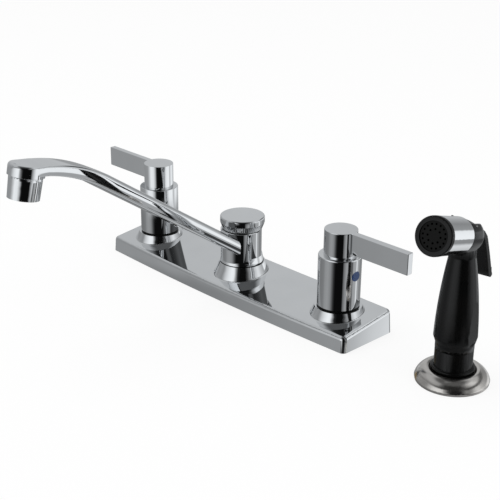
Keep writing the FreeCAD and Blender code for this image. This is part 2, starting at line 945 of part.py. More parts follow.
# Spout post, its rings, the diverter and the cap ------------------------------------------------

spout_post = new_body("spout_post")
pad(spout_post, oblong("-block_half_length", "block_half_length", "-block_half_depth", "block_half_depth"),
    "block_top - base_top", role="XY_Plane", out="base_top")
post_outline = [
    ("0", "-tail_end"),
    ("tail_radius", "-tail_end"),
    ("tail_radius", "base_top"),
    ("post_radius", "base_top"),
    ("post_radius", "low_ring_height - ring_groove_half"),
    ("ring_groove_radius", "low_ring_height - ring_groove_half"),
    ("ring_groove_radius", "low_ring_height + ring_groove_half"),
    ("post_radius", "low_ring_height + ring_groove_half"),
    ("post_radius", "outlet_bottom"),
    ("outlet_groove_radius", "outlet_bottom"),
    ("outlet_groove_radius", "outlet_top"),
    ("post_radius", "outlet_top"),
    ("post_radius", "high_ring_height - ring_groove_half"),
    ("ring_groove_radius", "high_ring_height - ring_groove_half"),
    ("ring_groove_radius", "high_ring_height + ring_groove_half"),
    ("post_radius", "high_ring_height + ring_groove_half"),
    ("post_radius", "post_top"),
    ("post_thread_radius", "post_top"),
    ("post_thread_radius", "post_thread_top"),
    ("0", "post_thread_top"),
]
turn(spout_post, post_outline)
hollow(spout_post, bar("nipple_neck", "-tail_end - 1", "base_top"))
hollow(spout_post, bar("post_bore", "nipple_neck_top", "post_thread_top + 1"))
hollow(spout_post, bar("tube_radius", "tube_stop", "block_half_length + 1"), up="tube_height", angle="-90")
hollow(spout_post, bar("tube_radius", "tube_stop", "block_half_length + 1"), up="tube_height", angle="90")
hollow(spout_post, bar("tube_bore", "-tube_stop - 1", "tube_stop + 1"), up="tube_height", angle="-90")
outlet_middle = "(outlet_bottom + outlet_top) / 2"
outlet_span = bar("outlet_hole", "-post_radius - 1", "post_radius + 1")
hollow(spout_post, outlet_span, up=outlet_middle, angle="-90")
hollow(spout_post, outlet_span, role="YZ_Plane", up=outlet_middle, angle="-90")
keep(spout_post)


def o_ring(label, height):
    """A rubber ring lying in one of the post's grooves."""
    torus = doc.addObject("Part::Torus", label)
    torus.Label = label
    bind(torus, "Radius1", "ring_groove_radius + ring_section")
    bind(torus, "Radius2", "ring_section")
    place(torus, z=height)
    return torus


o_rings = [o_ring("low_o_ring", "low_ring_height"), o_ring("high_o_ring", "high_ring_height")]
keep(group("spout_o_rings", o_rings))

spray_nipple = new_body("spray_nipple")
nipple_outline = [
    ("nipple_bore", "-nipple_end"),
    ("nipple_radius", "-nipple_end"),
    ("nipple_radius", "-tail_end"),
    ("nipple_neck", "-tail_end"),
    ("nipple_neck", "nipple_neck_top"),
    ("nipple_bore", "nipple_neck_top"),
]
turn(spray_nipple, nipple_outline)
keep(spray_nipple)

diverter_cage = new_body("diverter_cage")
cage_outline = [
    ("cage_seat", "cage_bottom"),
    ("post_bore", "cage_bottom"),
    ("post_bore", "post_thread_top"),
    ("cage_guide", "post_thread_top"),
    ("cage_guide", "cage_roof"),
    ("cage_bore", "cage_roof"),
    ("cage_bore", "cage_floor"),
    ("cage_seat", "cage_floor"),
]
turn(diverter_cage, cage_outline)
cage_window = oblong("-cage_window_half", "cage_window_half", "cage_window_bottom", "cage_window_top")
pocket(diverter_cage, cage_window, "3 * post_bore", midway=True)
keep(diverter_cage)

diverter_poppet = new_body("diverter_poppet")
poppet_bottom = "cage_floor + poppet_lift_gap"
poppet_outline = [
    ("0", poppet_bottom),
    ("poppet_radius", poppet_bottom),
    ("poppet_radius", f"{poppet_bottom} + poppet_thickness"),
    ("poppet_stem", f"{poppet_bottom} + poppet_thickness"),
    ("poppet_stem", "poppet_stem_top"),
    ("0", "poppet_stem_top"),
]
turn(diverter_poppet, poppet_outline)
keep(diverter_poppet)

spout_glide_ring = new_body("spout_glide_ring")
turn(spout_glide_ring, ring("post_radius", "glide_washer_outer", "spout_riser_top", "glide_washer_top"))
keep(spout_glide_ring)

cap_washer = new_body("cap_washer")
turn(cap_washer, ring("post_radius", "cap_washer_radius", "cap_washer_bottom", "post_top"))
keep(cap_washer)

spout_cap = new_body("spout_cap")
cap_outline = [
    ("post_thread_radius", "post_top"),
    ("cap_foot_radius", "post_top"),
    ("cap_rim_radius", "cap_rim_bottom"),
    ("cap_rim_radius", "cap_top"),
    ("0", "cap_top"),
    ("0", "post_thread_top"),
    ("post_thread_radius", "post_thread_top"),
]
turn(spout_cap, cap_outline)
soften(spout_cap, hoop("cap_rim_radius", "cap_top"), "cap_round")
keep(spout_cap)

# Spout ------------------------------------------------------------------------------------------

STRAIGHT_STATIONS = 3
BEND_STATIONS = 6
BEND_HEIGHT = "(arm_root_middle + (bend_forward - arm_root) * tan(arm_rise))"
SEAM_FORWARD = "(bend_forward + bend_radius * (sin(arm_rise) - sin(bend_end)) + head_forward)"
SEAM_HEIGHT = f"({BEND_HEIGHT} + bend_radius * (cos(bend_end) - cos(arm_rise)) - head_drop)"


def arm_section(body, forward, height, lean, tall, wide):
    """A rounded oblong across the arm, facing along its path."""
    sketch = new_sketch(body, up=height, out=forward, axis=-ALONG_X, angle=lean)
    round_ = f"arm_corner * ({tall})"
    half = f"({wide}) / 2"
    top = f"({tall}) / 2"
    outline = [
        (f"-({half}) + {round_}", f"-({top})"),
        (f"{half} - {round_}", f"-({top})", round_),
        (half, f"-({top}) + {round_}"),
        (half, f"{top} - {round_}", round_),
        (f"{half} - {round_}", top),
        (f"-({half}) + {round_}", top, round_),
        (f"-({half})", f"{top} - {round_}"),
        (f"-({half})", f"-({top}) + {round_}", round_),
    ]
    draw_outline(sketch, outline)
    return sketch


def arm_sections(body, inset):
    """Sections from inside the sleeve, up the straight rise and round the bend to the head."""
    sections = []
    wide = f"arm_width - 2 * {inset}"
    for station in range(STRAIGHT_STATIONS):
        share = f"{station} / {STRAIGHT_STATIONS}"
        forward = f"arm_root + (bend_forward - arm_root) * {share}"
        height = f"arm_root_middle + (bend_forward - arm_root) * {share} * tan(arm_rise)"
        tall = f"arm_root_height + (arm_bend_height - arm_root_height) * {share} - 2 * {inset}"
        sections.append(arm_section(body, forward, height, "arm_rise", tall, wide))
    for station in range(BEND_STATIONS):
        share = f"{station} / {BEND_STATIONS - 1}"
        lean = f"(arm_rise - (arm_rise - bend_end) * {share})"
        forward = f"bend_forward + bend_radius * (sin(arm_rise) - sin({lean}))"
        height = f"{BEND_HEIGHT} + bend_radius * (cos({lean}) - cos(arm_rise))"
        tall = f"arm_bend_height + (arm_end_height - arm_bend_height) * {share} - 2 * {inset}"
        sections.append(arm_section(body, forward, height, lean, tall, wide))
    return sections


def loft(body, kind, sections):
    """A smooth skin through sections, added or taken away."""
    feature = body.newObject(kind, "lofted")
    feature.Profile = sections[0]
    feature.Sections = sections[1:]
    doc.recompute()
    return feature


spout = new_body("spout")
turn(spout, bar("sleeve_radius", "spout_bottom", "sleeve_top"), out="sleeve_forward")
turn(spout, bar("spout_flange_radius", "spout_bottom", "spout_flange_top"))
loft(spout, "PartDesign::AdditiveLoft", arm_sections(spout, "0"))
head_axis = {"role": "YZ_Plane", "right": f"-{SEAM_FORWARD}", "up": SEAM_HEIGHT, "angle": "-head_lean"}
head_outline = [
    ("0", "0"),
    ("head_foot_radius", "0"),
    ("head_radius", "head_swell"),
    ("head_radius", "head_height - head_round"),
    ("head_radius - head_round * (1 - cos(45))", "head_height - head_round * (1 - sin(45))"),
    ("head_radius - head_round", "head_height"),
    ("0", "head_height"),
]
head_outline[3] += ("head_round",)
head_outline[4] += ("head_round",)
turn(spout, head_outline, **head_axis)
loft(spout, "PartDesign::SubtractiveLoft", arm_sections(spout, "arm_wall"))
hollow(spout, bar("sleeve_bore", "spout_bottom - 1", "sleeve_top + 1"))
hollow(spout, bar("head_bore", "-1", "head_bore_depth"), **head_axis)
keep(spout)


def on_head_axis(body):
    """Set a piece on the head's leaning axis, its origin at the seam."""
    place(body, y=f"-{SEAM_FORWARD}", z=SEAM_HEIGHT, axis=-ALONG_X, angle="head_lean")
    return body


aerator_housing = new_body("aerator_housing")
aerator_outline = [
    ("aerator_mouth", "-aerator_length"),
    ("aerator_tip_radius", "-aerator_length"),
    ("aerator_radius", "-aerator_groove"),
    ("aerator_groove_radius", "-aerator_groove"),
    ("aerator_groove_radius", "0"),
    ("head_bore", "0"),
    ("head_bore", "aerator_neck_top"),
    ("aerator_bore", "aerator_neck_top"),
    ("aerator_bore", "-aerator_length + aerator_lip"),
    ("aerator_mouth", "-aerator_length + aerator_lip"),
]
turn(aerator_housing, aerator_outline)
keep(on_head_axis(aerator_housing))

aerator_insert = new_body("aerator_insert")
turn(aerator_insert, bar("aerator_bore", "-aerator_length + aerator_lip", "-insert_top"))
hollow(aerator_insert, bar("insert_hole", "-aerator_length", "0"))
insert_hole = hollow(aerator_insert, bar("insert_hole", "-aerator_length", "0"), right="insert_ring")
around(aerator_insert, insert_hole, "insert_hole_count")
keep(on_head_axis(aerator_insert))

flow_screen = new_body("flow_screen")
turn(flow_screen, bar("aerator_bore", "-insert_top", "-insert_top + screen_thickness"))
screen_hole = hollow(flow_screen, bar("insert_hole", "-aerator_length", "1"), right="insert_ring / 2")
around(flow_screen, screen_hole, "insert_hole_count / 2")
keep(on_head_axis(flow_screen))

aerator_washer = new_body("aerator_washer")
turn(aerator_washer, ring("aerator_washer_bore", "head_bore", "aerator_neck_top", "head_bore_depth"))
keep(on_head_axis(aerator_washer))

# Side sprayer -----------------------------------------------------------------------------------


def at_sprayer(body):
    """Set a piece at the sprayer's hole, turned so that its head points forward and inward."""
    place(body, x="spray_x", y="spray_y", angle="spray_turn")
    return body


sprayer_flange = new_body("sprayer_flange")
flange_outline = [
    ("flange_radius - flange_wall", "0"),
    ("flange_foot_radius", "0"),
    ("flange_radius", "flange_foot", "flange_dome"),
    ("flange_crest", "flange_top"),
    ("flange_mouth + 1", "flange_top"),
    ("flange_mouth", "flange_mouth_top"),
    ("flange_mouth", "flange_ledge"),
    ("holder_radius", "flange_ledge"),
    ("holder_radius", "flange_ledge_bottom"),
    ("flange_hollow", "flange_ledge_bottom"),
    ("flange_radius - flange_wall", "flange_foot"),
]
turn(sprayer_flange, flange_outline)
keep(at_sprayer(sprayer_flange))

sprayer_holder = new_body("sprayer_holder")
holder_outline = [
    ("holder_bore", "-holder_end"),
    ("holder_thread_radius", "-holder_end"),
    ("holder_thread_radius", "-holder_shank_end"),
    ("holder_shank_radius", "-holder_shank_end"),
    ("holder_shank_radius", "holder_shank_top"),
    ("holder_radius", "holder_shank_top"),
    ("holder_radius", "flange_ledge"),
    ("holder_lip_radius", "flange_ledge"),
    ("holder_lip_radius", "holder_lip_top"),
    ("holder_radius", "holder_lip_top"),
    ("holder_radius", "holder_top"),
    ("holder_bore", "holder_top"),
]
turn(sprayer_holder, holder_outline)
soften(sprayer_holder, hoop("holder_lip_radius", "holder_lip_top"), "holder_lip_round")
keep(at_sprayer(sprayer_holder))

holder_washer = new_body("holder_washer")
turn(holder_washer, ring("holder_thread_radius", "holder_washer_radius",
                         "-holder_shank_end - washer_thickness", "-holder_shank_end"))
keep(at_sprayer(holder_washer))

holder_nut = new_body("holder_nut")
nut_top = "-holder_shank_end - washer_thickness"
pad(holder_nut, hexagon("holder_nut_flats"), "nut_height", reverse=True, role="XY_Plane", out=nut_top)
hollow(holder_nut, bar("holder_thread_radius", f"{nut_top} - nut_height - 1", f"{nut_top} + 1"))
keep(at_sprayer(holder_nut))

PIVOT = "head_rise + pivot_above"
spray_axis = {"role": "YZ_Plane", "right": "-head_back", "up": "head_rise", "angle": "90 - head_tilt"}

spray_grip = new_body("spray_grip")
grip_outline = [
    ("0", "spray_plug_bottom"),
    ("spray_plug_radius", "spray_plug_bottom"),
    ("spray_plug_radius", "spray_bottom"),
    ("spray_ring_radius", "spray_bottom"),
    ("spray_ring_radius", "spray_ring_top"),
    ("spray_shoulder_radius", "spray_shoulder", "spray_swell"),
    ("spray_neck_radius", "spray_neck_top"),
    ("spray_neck_radius", "spray_core_top"),
    ("0", "spray_core_top"),
]
turn(spray_grip, grip_outline)
for across in ("spray_flat", "-spray_flat - spray_shoulder_radius"):
    side = oblong(across, f"{across} + spray_shoulder_radius", "spray_shoulder - 3", "spray_neck_top")
    pocket(spray_grip, side, "4 * spray_shoulder_radius", midway=True)

spray_rear = new_body("spray_rear")
rear_outline = [
    ("0", "-rear_end"),
    ("rear_end_radius", "-rear_end", "rear_curve"),
    ("rear_radius", "-rear_straight"),
    ("rear_radius", "0"),
    ("core_radius", "0"),
    ("core_radius", "core_end"),
    ("0", "core_end"),
]
turn(spray_rear, rear_outline, **spray_axis)
spray_blank = combine("Part::MultiFuse", "spray_blank", spray_grip, spray_rear)

spray_hollow = new_body("spray_hollow")
turn(spray_hollow, bar("spray_bore", "spray_plug_bottom - 1", "spray_bore_top"))
turn(spray_hollow, bar("valve_chamber_radius", "spray_bore_top - chamber_overlap", "valve_seat"),
     out="-plunger_back")
turn(spray_hollow, bar("valve_throat_radius", "valve_seat - 1", "valve_throat_top"), out="-plunger_back")
turn(spray_hollow, bar("plunger_radius + plunger_fit", "valve_throat_top - 1", f"{PIVOT} - plunger_below"),
     out="-plunger_back")
turn(spray_hollow, bar("outlet_bore", "0", "outlet_length"), role="YZ_Plane", right="plunger_back",
     up="valve_throat_top - outlet_bore", angle="90 - outlet_rise")
turn(spray_hollow, bar("core_bore", "core_bore_start", "core_end + 1"), **spray_axis)

spray_slot = new_body("spray_slot")
slot_outline = [
    ("trigger_nose_back", f"{PIVOT} + nose_above + 2 * slot_gap"),
    ("trigger_chin_back - slot_gap / 3", f"{PIVOT} + chin_above - slot_gap"),
    ("pivot_back - 2 * knuckle_radius", f"{PIVOT} - knuckle_radius"),
    ("pivot_back", f"{PIVOT} - knuckle_radius - slot_gap"),
    ("press_back + 1.5 * slot_gap", f"{PIVOT} - press_below - 1.7 * slot_gap"),
    ("press_back + 2.5 * travel_gap", f"{PIVOT} - press_below - 1.9 * travel_gap"),
    ("trigger_heel_back - 2 * travel_gap", f"{PIVOT} - heel_below + travel_gap"),
    ("trigger_heel_back - travel_gap", f"{PIVOT} - heel_below - travel_gap"),
    ("trigger_tip_back", f"{PIVOT} - heel_below - travel_gap"),
    ("trigger_tip_back", f"{PIVOT} + nose_above + 2 * slot_gap"),
]
pad(spray_slot, slot_outline, "2 * slot_half_width", midway=True, role="YZ_Plane")
hollow_pin = new_body("pin_hole")
turn(hollow_pin, bar("pivot_radius", "-pin_half_length", "pin_half_length"), up=PIVOT, angle="-90",
     out="-(pivot_back)")
spray_inside = combine("Part::MultiFuse", "spray_inside", spray_hollow, spray_slot, hollow_pin)
spray_body = combine("Part::Cut", "spray_body", spray_blank, spray_inside)
keep(at_sprayer(spray_body))

spray_band = new_body("spray_band")
band_outline = [
    ("core_radius", "0"),
    ("band_rear_radius", "0"),
    ("band_front_radius", "band_end"),
    ("core_radius", "band_end"),
]
turn(spray_band, band_outline, **spray_axis)
keep(at_sprayer(spray_band))


def on_spray_axis(body):
    """Set a piece on the sprayer head's leaning axis, its origin at the band's rear."""
    lean = FreeCAD.Rotation(ALONG_X, number_of("90 - head_tilt"))
    spin = FreeCAD.Rotation(UPRIGHT, number_of("spray_turn"))
    offset = spin.multVec(FreeCAD.Vector(0, -number_of("head_back"), number_of("head_rise")))
    centre = FreeCAD.Vector(number_of("spray_x"), number_of("spray_y"), 0)
    body.Placement = FreeCAD.Placement(centre + offset, spin.multiply(lean))
    bind(body, "Placement.Base.x", "spray_x + head_back * sin(spray_turn)")
    bind(body, "Placement.Base.y", "spray_y - head_back * cos(spray_turn)")
    bind(body, "Placement.Base.z", "head_rise")
    return body


spray_face = new_body("spray_face")
turn(spray_face, bar("core_radius", "core_end", "face_end - face_recess"))
for hole_ring, count in (("spray_hole_ring", "spray_hole_count"), ("inner_hole_ring", "inner_hole_count")):
    spray_hole = hollow(spray_face, bar("spray_hole", "core_end - 1", "face_end"), right=hole_ring)
    around(spray_face, spray_hole, count)
keep(on_spray_axis(spray_face))

face_ring = new_body("face_ring")
face_ring_outline = [
    ("core_radius", "band_end"),
    ("face_ring_radius", "band_end"),
    ("face_ring_radius", "face_end - face_ring_edge"),
    ("face_ring_radius - face_ring_edge", "face_end"),
    ("face_mouth", "face_end"),
    ("face_mouth", "face_end - face_recess"),
    ("core_radius", "face_end - face_recess"),
]
turn(face_ring, face_ring_outline)
keep(on_spray_axis(face_ring))

trigger = new_body("trigger")
trigger_outline = [
    ("trigger_nose_back", f"{PIVOT} + nose_above"),
    ("trigger_chin_back", f"{PIVOT} + chin_above"),
    ("pivot_back - knuckle_radius", PIVOT, "knuckle_radius"),
    ("pivot_back", f"{PIVOT} - knuckle_radius"),
    ("press_back", f"{PIVOT} - press_below", "-trigger_bow"),
    ("trigger_heel_back", f"{PIVOT} - heel_below", "-trigger_palm"),
    ("trigger_lip_back", f"{PIVOT} - lip_below"),
    ("trigger_toe_back", f"{PIVOT} - toe_below", "trigger_curl"),
    ("trigger_tip_back", f"{PIVOT} - tip_below", "trigger_sweep"),
    ("trigger_knee_back", f"{PIVOT} - knee_below"),
    ("trigger_bend_back", f"{PIVOT} - bend_below", "trigger_brow"),
]
pad(trigger, trigger_outline, "2 * trigger_half_width", midway=True, role="YZ_Plane")
for across in ("1", "-1"):
    wedge = [
        (f"{across} * trigger_half_width", f"{PIVOT} - heel_below"),
        (f"{across} * trigger_tip_half_width", f"{PIVOT} - toe_below - trigger_curl"),
        (f"{across} * 2 * trigger_half_width", f"{PIVOT} - toe_below - trigger_curl"),
        (f"{across} * 2 * trigger_half_width", f"{PIVOT} - heel_below"),
    ]
    if across == "-1":
        wedge.reverse()
    pocket(trigger, wedge, "3 * trigger_tip_back", midway=True)
hollow(trigger, bar("pivot_radius + pivot_fit", "-trigger_half_width - 1", "trigger_half_width + 1"),
       up=PIVOT, angle="-90", out="-(pivot_back)")
keep(at_sprayer(trigger))

trigger_pin = new_body("trigger_pin")
turn(trigger_pin, bar("pivot_radius", "-pin_half_length", "pin_half_length"), up=PIVOT, angle="-90",
     out="-(pivot_back)")
keep(at_sprayer(trigger_pin))

valve_plunger = new_body("valve_plunger")
plunger_outline = [
    ("0", "plunger_head_bottom"),
    ("plunger_head_radius", "plunger_head_bottom"),
    ("plunger_head_radius", "plunger_head_top"),
    ("plunger_radius", "plunger_head_top"),
    ("plunger_radius", f"{PIVOT} - plunger_below"),
    ("0", f"{PIVOT} - plunger_below"),
]
turn(valve_plunger, plunger_outline, out="-plunger_back")
keep(at_sprayer(valve_plunger))

valve_seal = new_body("valve_seal")
turn(valve_seal, ring("plunger_radius", "plunger_head_radius", "plunger_head_top", "valve_seal_top"),
     out="-plunger_back")
keep(at_sprayer(valve_seal))

valve_spring = doc.addObject("Part::Feature", "valve_spring")
valve_spring.Label = "valve_spring"
spring_rise = number_of("plunger_head_bottom - spray_bore_top + chamber_overlap - 2 * spring_wire")
coil_radius = number_of("spring_radius")
helix = Part.makeHelix(spring_rise / number_of("spring_turns"), spring_rise, coil_radius)
wire_circle = Part.makeCircle(number_of("spring_wire"), FreeCAD.Vector(coil_radius, 0, 0), ALONG_Y)
valve_spring.Shape = Part.Wire(helix.Edges).makePipeShell([Part.Wire([wire_circle])], True, True)
place(
    valve_spring,
    x="spray_x - plunger_back * sin(spray_turn)",
    y="spray_y + plunger_back * cos(spray_turn)",
    z="spray_bore_top - chamber_overlap + spring_wire",
    angle="spray_turn",
)
keep(valve_spring)

inlet_adapter = new_body("inlet_adapter")
adapter_outline = [
    ("adapter_bore", "adapter_bottom"),
    ("adapter_radius", "adapter_bottom"),
    ("adapter_radius", "spray_plug_bottom"),
    ("spray_bore", "spray_plug_bottom"),
    ("spray_bore", "adapter_neck_top"),
    ("adapter_bore", "adapter_neck_top"),
]
turn(inlet_adapter, adapter_outline)
keep(at_sprayer(inlet_adapter))

# Check and export -------------------------------------------------------------------------------

doc.recompute()
for thing in doc.Objects:
    if {"Invalid", "Error"} & set(thing.State):
        raise ValueError(f"{thing.Label} could not be built: {thing.State}")

for piece in pieces:
    if piece.Shape.isNull() or not piece.Shape.isValid() or not piece.Shape.Solids:
        raise ValueError(f"{piece.Label} is not a sound solid")
    piece.Shape.exportStep(f"parts/{piece.Label}.step")
    box = piece.Shape.BoundBox
    print(f"{piece.Label}: {len(piece.Shape.Solids)} solid(s), {piece.Shape.Volume:.0f} mm3, "
          f"x {box.XMin:.1f}..{box.XMax:.1f} y {box.YMin:.1f}..{box.YMax:.1f} z {box.ZMin:.1f}..{box.ZMax:.1f}")
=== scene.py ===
"""Dress the two handle kitchen faucet and its side sprayer for a studio picture."""

import json
import logging
import math
from dataclasses import dataclass, field
from enum import Enum

import bmesh
import bpy
from mathutils import Matrix, Vector


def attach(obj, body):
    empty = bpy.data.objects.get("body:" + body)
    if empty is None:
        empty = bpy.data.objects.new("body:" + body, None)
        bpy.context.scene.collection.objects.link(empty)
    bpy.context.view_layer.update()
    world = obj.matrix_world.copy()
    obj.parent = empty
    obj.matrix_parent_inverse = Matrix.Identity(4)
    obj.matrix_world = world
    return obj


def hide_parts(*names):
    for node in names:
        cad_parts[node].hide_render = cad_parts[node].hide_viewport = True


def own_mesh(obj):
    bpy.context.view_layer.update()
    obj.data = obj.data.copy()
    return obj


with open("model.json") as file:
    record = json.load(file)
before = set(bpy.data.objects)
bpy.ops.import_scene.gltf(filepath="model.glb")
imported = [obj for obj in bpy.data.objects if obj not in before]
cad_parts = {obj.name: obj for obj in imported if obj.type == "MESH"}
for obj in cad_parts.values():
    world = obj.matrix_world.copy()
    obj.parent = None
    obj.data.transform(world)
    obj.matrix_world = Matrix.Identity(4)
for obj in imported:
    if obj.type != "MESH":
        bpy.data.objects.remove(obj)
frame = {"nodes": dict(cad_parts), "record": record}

LOG = logging.getLogger("faucet")
MM = 0.001
ORIGIN = Vector()
HANDLE_SPACING = 203.2  # between the handles' axes, in millimetres
JOIN_GAP = 2e-6  # corners nearer to each other than this are one, in metres
WEAR_DETAIL = 5.0
WEAR_SPAN = (0.3, 0.7)  # the part of the wear noise that moves the roughness
TINT_SPAN = (0.35, 0.75)  # the part of the wear noise that drifts to the tint
RING_STRETCH = (1.0, 1.0, 9.0)  # draws the grain of turned metal out into rings
EVEN_STRETCH = (1.0, 1.0, 1.0)
POLISH_SCALE, GRAIN_SCALE = 220.0, 900.0
GRAIN_DETAIL, GRAIN_STRENGTH = 3.0, 0.5


def add_node(tree: bpy.types.NodeTree, kind: str, inputs: dict[str | int, object] | None = None,
             **settings: object) -> bpy.types.Node:
    """Add a node, set it up and fill its inputs.

    Args:
        tree: the tree it goes in
        kind: its type
        inputs: sockets to join or plain values, by the input's name or place
        settings: its other settings

    Returns:
        The node.
    """
    node = tree.nodes.new(kind)
    for name, value in settings.items():
        setattr(node, name, value)
    for entry, value in (inputs or {}).items():
        if isinstance(value, bpy.types.NodeSocket):
            tree.links.new(value, node.inputs[entry])
        else:
            node.inputs[entry].default_value = value
    return node


class Grain(Enum):
    """How a finish's surface is worked."""

    POLISHED = "polished"
    MOULDED = "moulded"
    TURNED = "turned"


@dataclass(frozen=True)
class Finish:
    """One finish, made as a node material on Object coordinates.

    Attributes:
        name: the finish's name
        colour: linear base colour
        metallic: 1 for bare metal
        roughness: middle roughness
        spread: how far wear moves the roughness either way
        patch: size of the wear patches, in metres
        bump: depth of the fine relief, in metres
        grain: how the surface is worked
        tint: second colour that the wear drifts toward
        gloss: strength of the mirror reflection on what is not metal, 0.5 being plain plastic
    """

    name: str
    colour: tuple[float, float, float]
    metallic: float = 0.0
    roughness: float = 0.4
    spread: float = 0.05
    patch: float = 0.012
    bump: float = 1e-5
    grain: Grain = Grain.MOULDED
    tint: tuple[float, float, float] | None = None
    gloss: float = 0.5

    def material(self) -> bpy.types.Material:
        """Build the material, or return the one already built.

        Returns:
            The material for this finish.
        """
        made = bpy.data.materials.get(self.name)
        if made:
            return made
        made = bpy.data.materials.new(self.name)
        made.use_nodes = True
        tree = made.node_tree
        tree.nodes.clear()
        place = add_node(tree, "ShaderNodeTexCoord").outputs["Object"]
        wear = add_node(tree, "ShaderNodeTexNoise", {
            "Vector": place, "Scale": 1 / self.patch, "Detail": WEAR_DETAIL,
        }).outputs["Fac"]
        shader = add_node(tree, "ShaderNodeBsdfPrincipled", {
            "Metallic": self.metallic,
            "Specular IOR Level": self.gloss,
            "Roughness": self._worn(tree, wear),
            "Base Color": self._tinted(tree, wear),
            "Normal": self._relief(tree, place),
        })
        add_node(tree, "ShaderNodeOutputMaterial", {"Surface": shader.outputs["BSDF"]})
        return made

    def _worn(self, tree: bpy.types.NodeTree, wear: bpy.types.NodeSocket) -> bpy.types.NodeSocket:
        """Let the wear move the roughness.

        Args:
            tree: the material's nodes
            wear: the wear noise

        Returns:
            The roughness.
        """
        return add_node(tree, "ShaderNodeMapRange", {
            "Value": wear,
            "From Min": WEAR_SPAN[0],
            "From Max": WEAR_SPAN[1],
            "To Min": max(self.roughness - self.spread, 0.01),
            "To Max": self.roughness + self.spread,
        }).outputs["Result"]

    def _tinted(self, tree: bpy.types.NodeTree, wear: bpy.types.NodeSocket) -> bpy.types.NodeSocket:
        """Let the wear drift the colour toward the tint.

        Args:
            tree: the material's nodes
            wear: the wear noise

        Returns:
            The colour.
        """
        ramp = add_node(tree, "ShaderNodeValToRGB", {"Fac": wear})
        colours = (self.colour, self.tint or self.colour)
        for element, position, colour in zip(ramp.color_ramp.elements, TINT_SPAN, colours):
            element.position = position
            element.color = (*colour, 1.0)
        return ramp.outputs["Color"]

    def _relief(self, tree: bpy.types.NodeTree, place: bpy.types.NodeSocket) -> bpy.types.NodeSocket:
        """Make the fine relief: drawn rings on turned metal, soft grain on the rest.

        Args:
            tree: the material's nodes
            place: the Object coordinates

        Returns:
            The bent normal.
        """
        stretch = add_node(tree, "ShaderNodeMapping", {
            "Vector": place, "Scale": RING_STRETCH if self.grain is Grain.TURNED else EVEN_STRETCH,
        })
        grain = add_node(tree, "ShaderNodeTexNoise", {
            "Vector": stretch.outputs["Vector"],
            "Scale": POLISH_SCALE if self.grain is Grain.POLISHED else GRAIN_SCALE,
            "Detail": GRAIN_DETAIL,
        })
        return add_node(tree, "ShaderNodeBump", {
            "Height": grain.outputs["Fac"], "Strength": GRAIN_STRENGTH, "Distance": self.bump,
        }).outputs["Normal"]


CHROME = Finish("polished_chrome", (0.85, 0.86, 0.87), 1.0, 0.022, 0.008, 0.02, 4e-7, Grain.POLISHED,
                (0.82, 0.83, 0.84))
NICKEL = Finish("satin_nickel", (0.72, 0.69, 0.66), 1.0, 0.19, 0.03, 0.010, 2e-6, Grain.TURNED,
                (0.66, 0.63, 0.595))
STEEL = Finish("plain_steel", (0.58, 0.58, 0.57), 1.0, 0.32, 0.06, 0.008, 6e-6, Grain.TURNED,
               (0.48, 0.48, 0.47))
BRASS = Finish("machined_brass", (0.74, 0.54, 0.24), 1.0, 0.30, 0.06, 0.008, 6e-6, Grain.TURNED,
               (0.62, 0.43, 0.18))
COPPER = Finish("drawn_copper", (0.76, 0.38, 0.25), 1.0, 0.30, 0.06, 0.008, 5e-6, Grain.TURNED,
                (0.60, 0.28, 0.18))
GLOSS_BLACK = Finish("gloss_black_plastic", (0.0022, 0.0024, 0.0024), 0.0, 0.19, 0.03, 0.009, 2e-6,
                     Grain.MOULDED, (0.0032, 0.0030, 0.0028), 0.30)
MATT_BLACK = Finish("matt_black_plastic", (0.0042, 0.0044, 0.0042), 0.0, 0.30, 0.05, 0.008, 4e-6,
                    Grain.MOULDED, (0.0050, 0.0050, 0.0046), 0.10)
RUBBER = Finish("black_rubber", (0.018, 0.018, 0.018), 0.0, 0.65, 0.07, 0.006, 1.6e-5, Grain.MOULDED,
                (0.028, 0.027, 0.026))
WHITE_PLASTIC = Finish("white_plastic", (0.72, 0.72, 0.69), 0.0, 0.42, 0.05, 0.008, 1e-5, Grain.MOULDED,
                       (0.66, 0.66, 0.62))
CERAMIC = Finish("lapped_ceramic", (0.82, 0.80, 0.76), 0.0, 0.16, 0.03, 0.006, 2e-6, Grain.POLISHED,
                 (0.78, 0.76, 0.72))
COLD_BLUE = Finish("cold_blue_plastic", (0.012, 0.040, 0.135), 0.0, 0.24, 0.05, 0.004, 6e-6, Grain.MOULDED,
                   (0.016, 0.050, 0.16))
HOT_RED = Finish("hot_red_plastic", (0.42, 0.012, 0.012), 0.0, 0.24, 0.05, 0.004, 6e-6, Grain.MOULDED,
                 (0.36, 0.010, 0.010))


def add_object(name: str, data: bpy.types.ID) -> bpy.types.Object:
    """Put new data in the scene as an object.

    Args:
        name: the object's name
        data: its mesh, camera or lamp

    Returns:
        The object.
    """
    made = bpy.data.objects.new(name, data)
    bpy.context.scene.collection.objects.link(made)
    return made


def give(piece: bpy.types.Object, finish: Finish) -> None:
    """Give a piece one finish all over."""
    piece.data.materials.clear()
    piece.data.materials.append(finish.material())


def body_with(node: str) -> str:
    """Return the name of the moving body that holds a node."""
    groups = frame["record"]["behaviour"]["bodies"]
    return next(body for body, nodes in groups.items() if node in nodes)


def settle(piece: bpy.types.Object, node: str) -> None:
    """Make a piece ride with a node's body."""
    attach(piece, body_with(node))


def smooth(piece: bpy.types.Object, angle: float) -> None:
    """Shade a piece smoothly, flat faces staying flat and sharp edges sharp.

    Args:
        piece: the piece to shade
        angle: the crease angle, in degrees
    """
    piece.data.shade_smooth()
    piece.data.set_sharp_from_angle(angle=math.radians(angle))
    weighing = piece.modifiers.new("weighing", "WEIGHTED_NORMAL")
    weighing.keep_sharp = True
    weighing.weight = 100
    bake(piece)


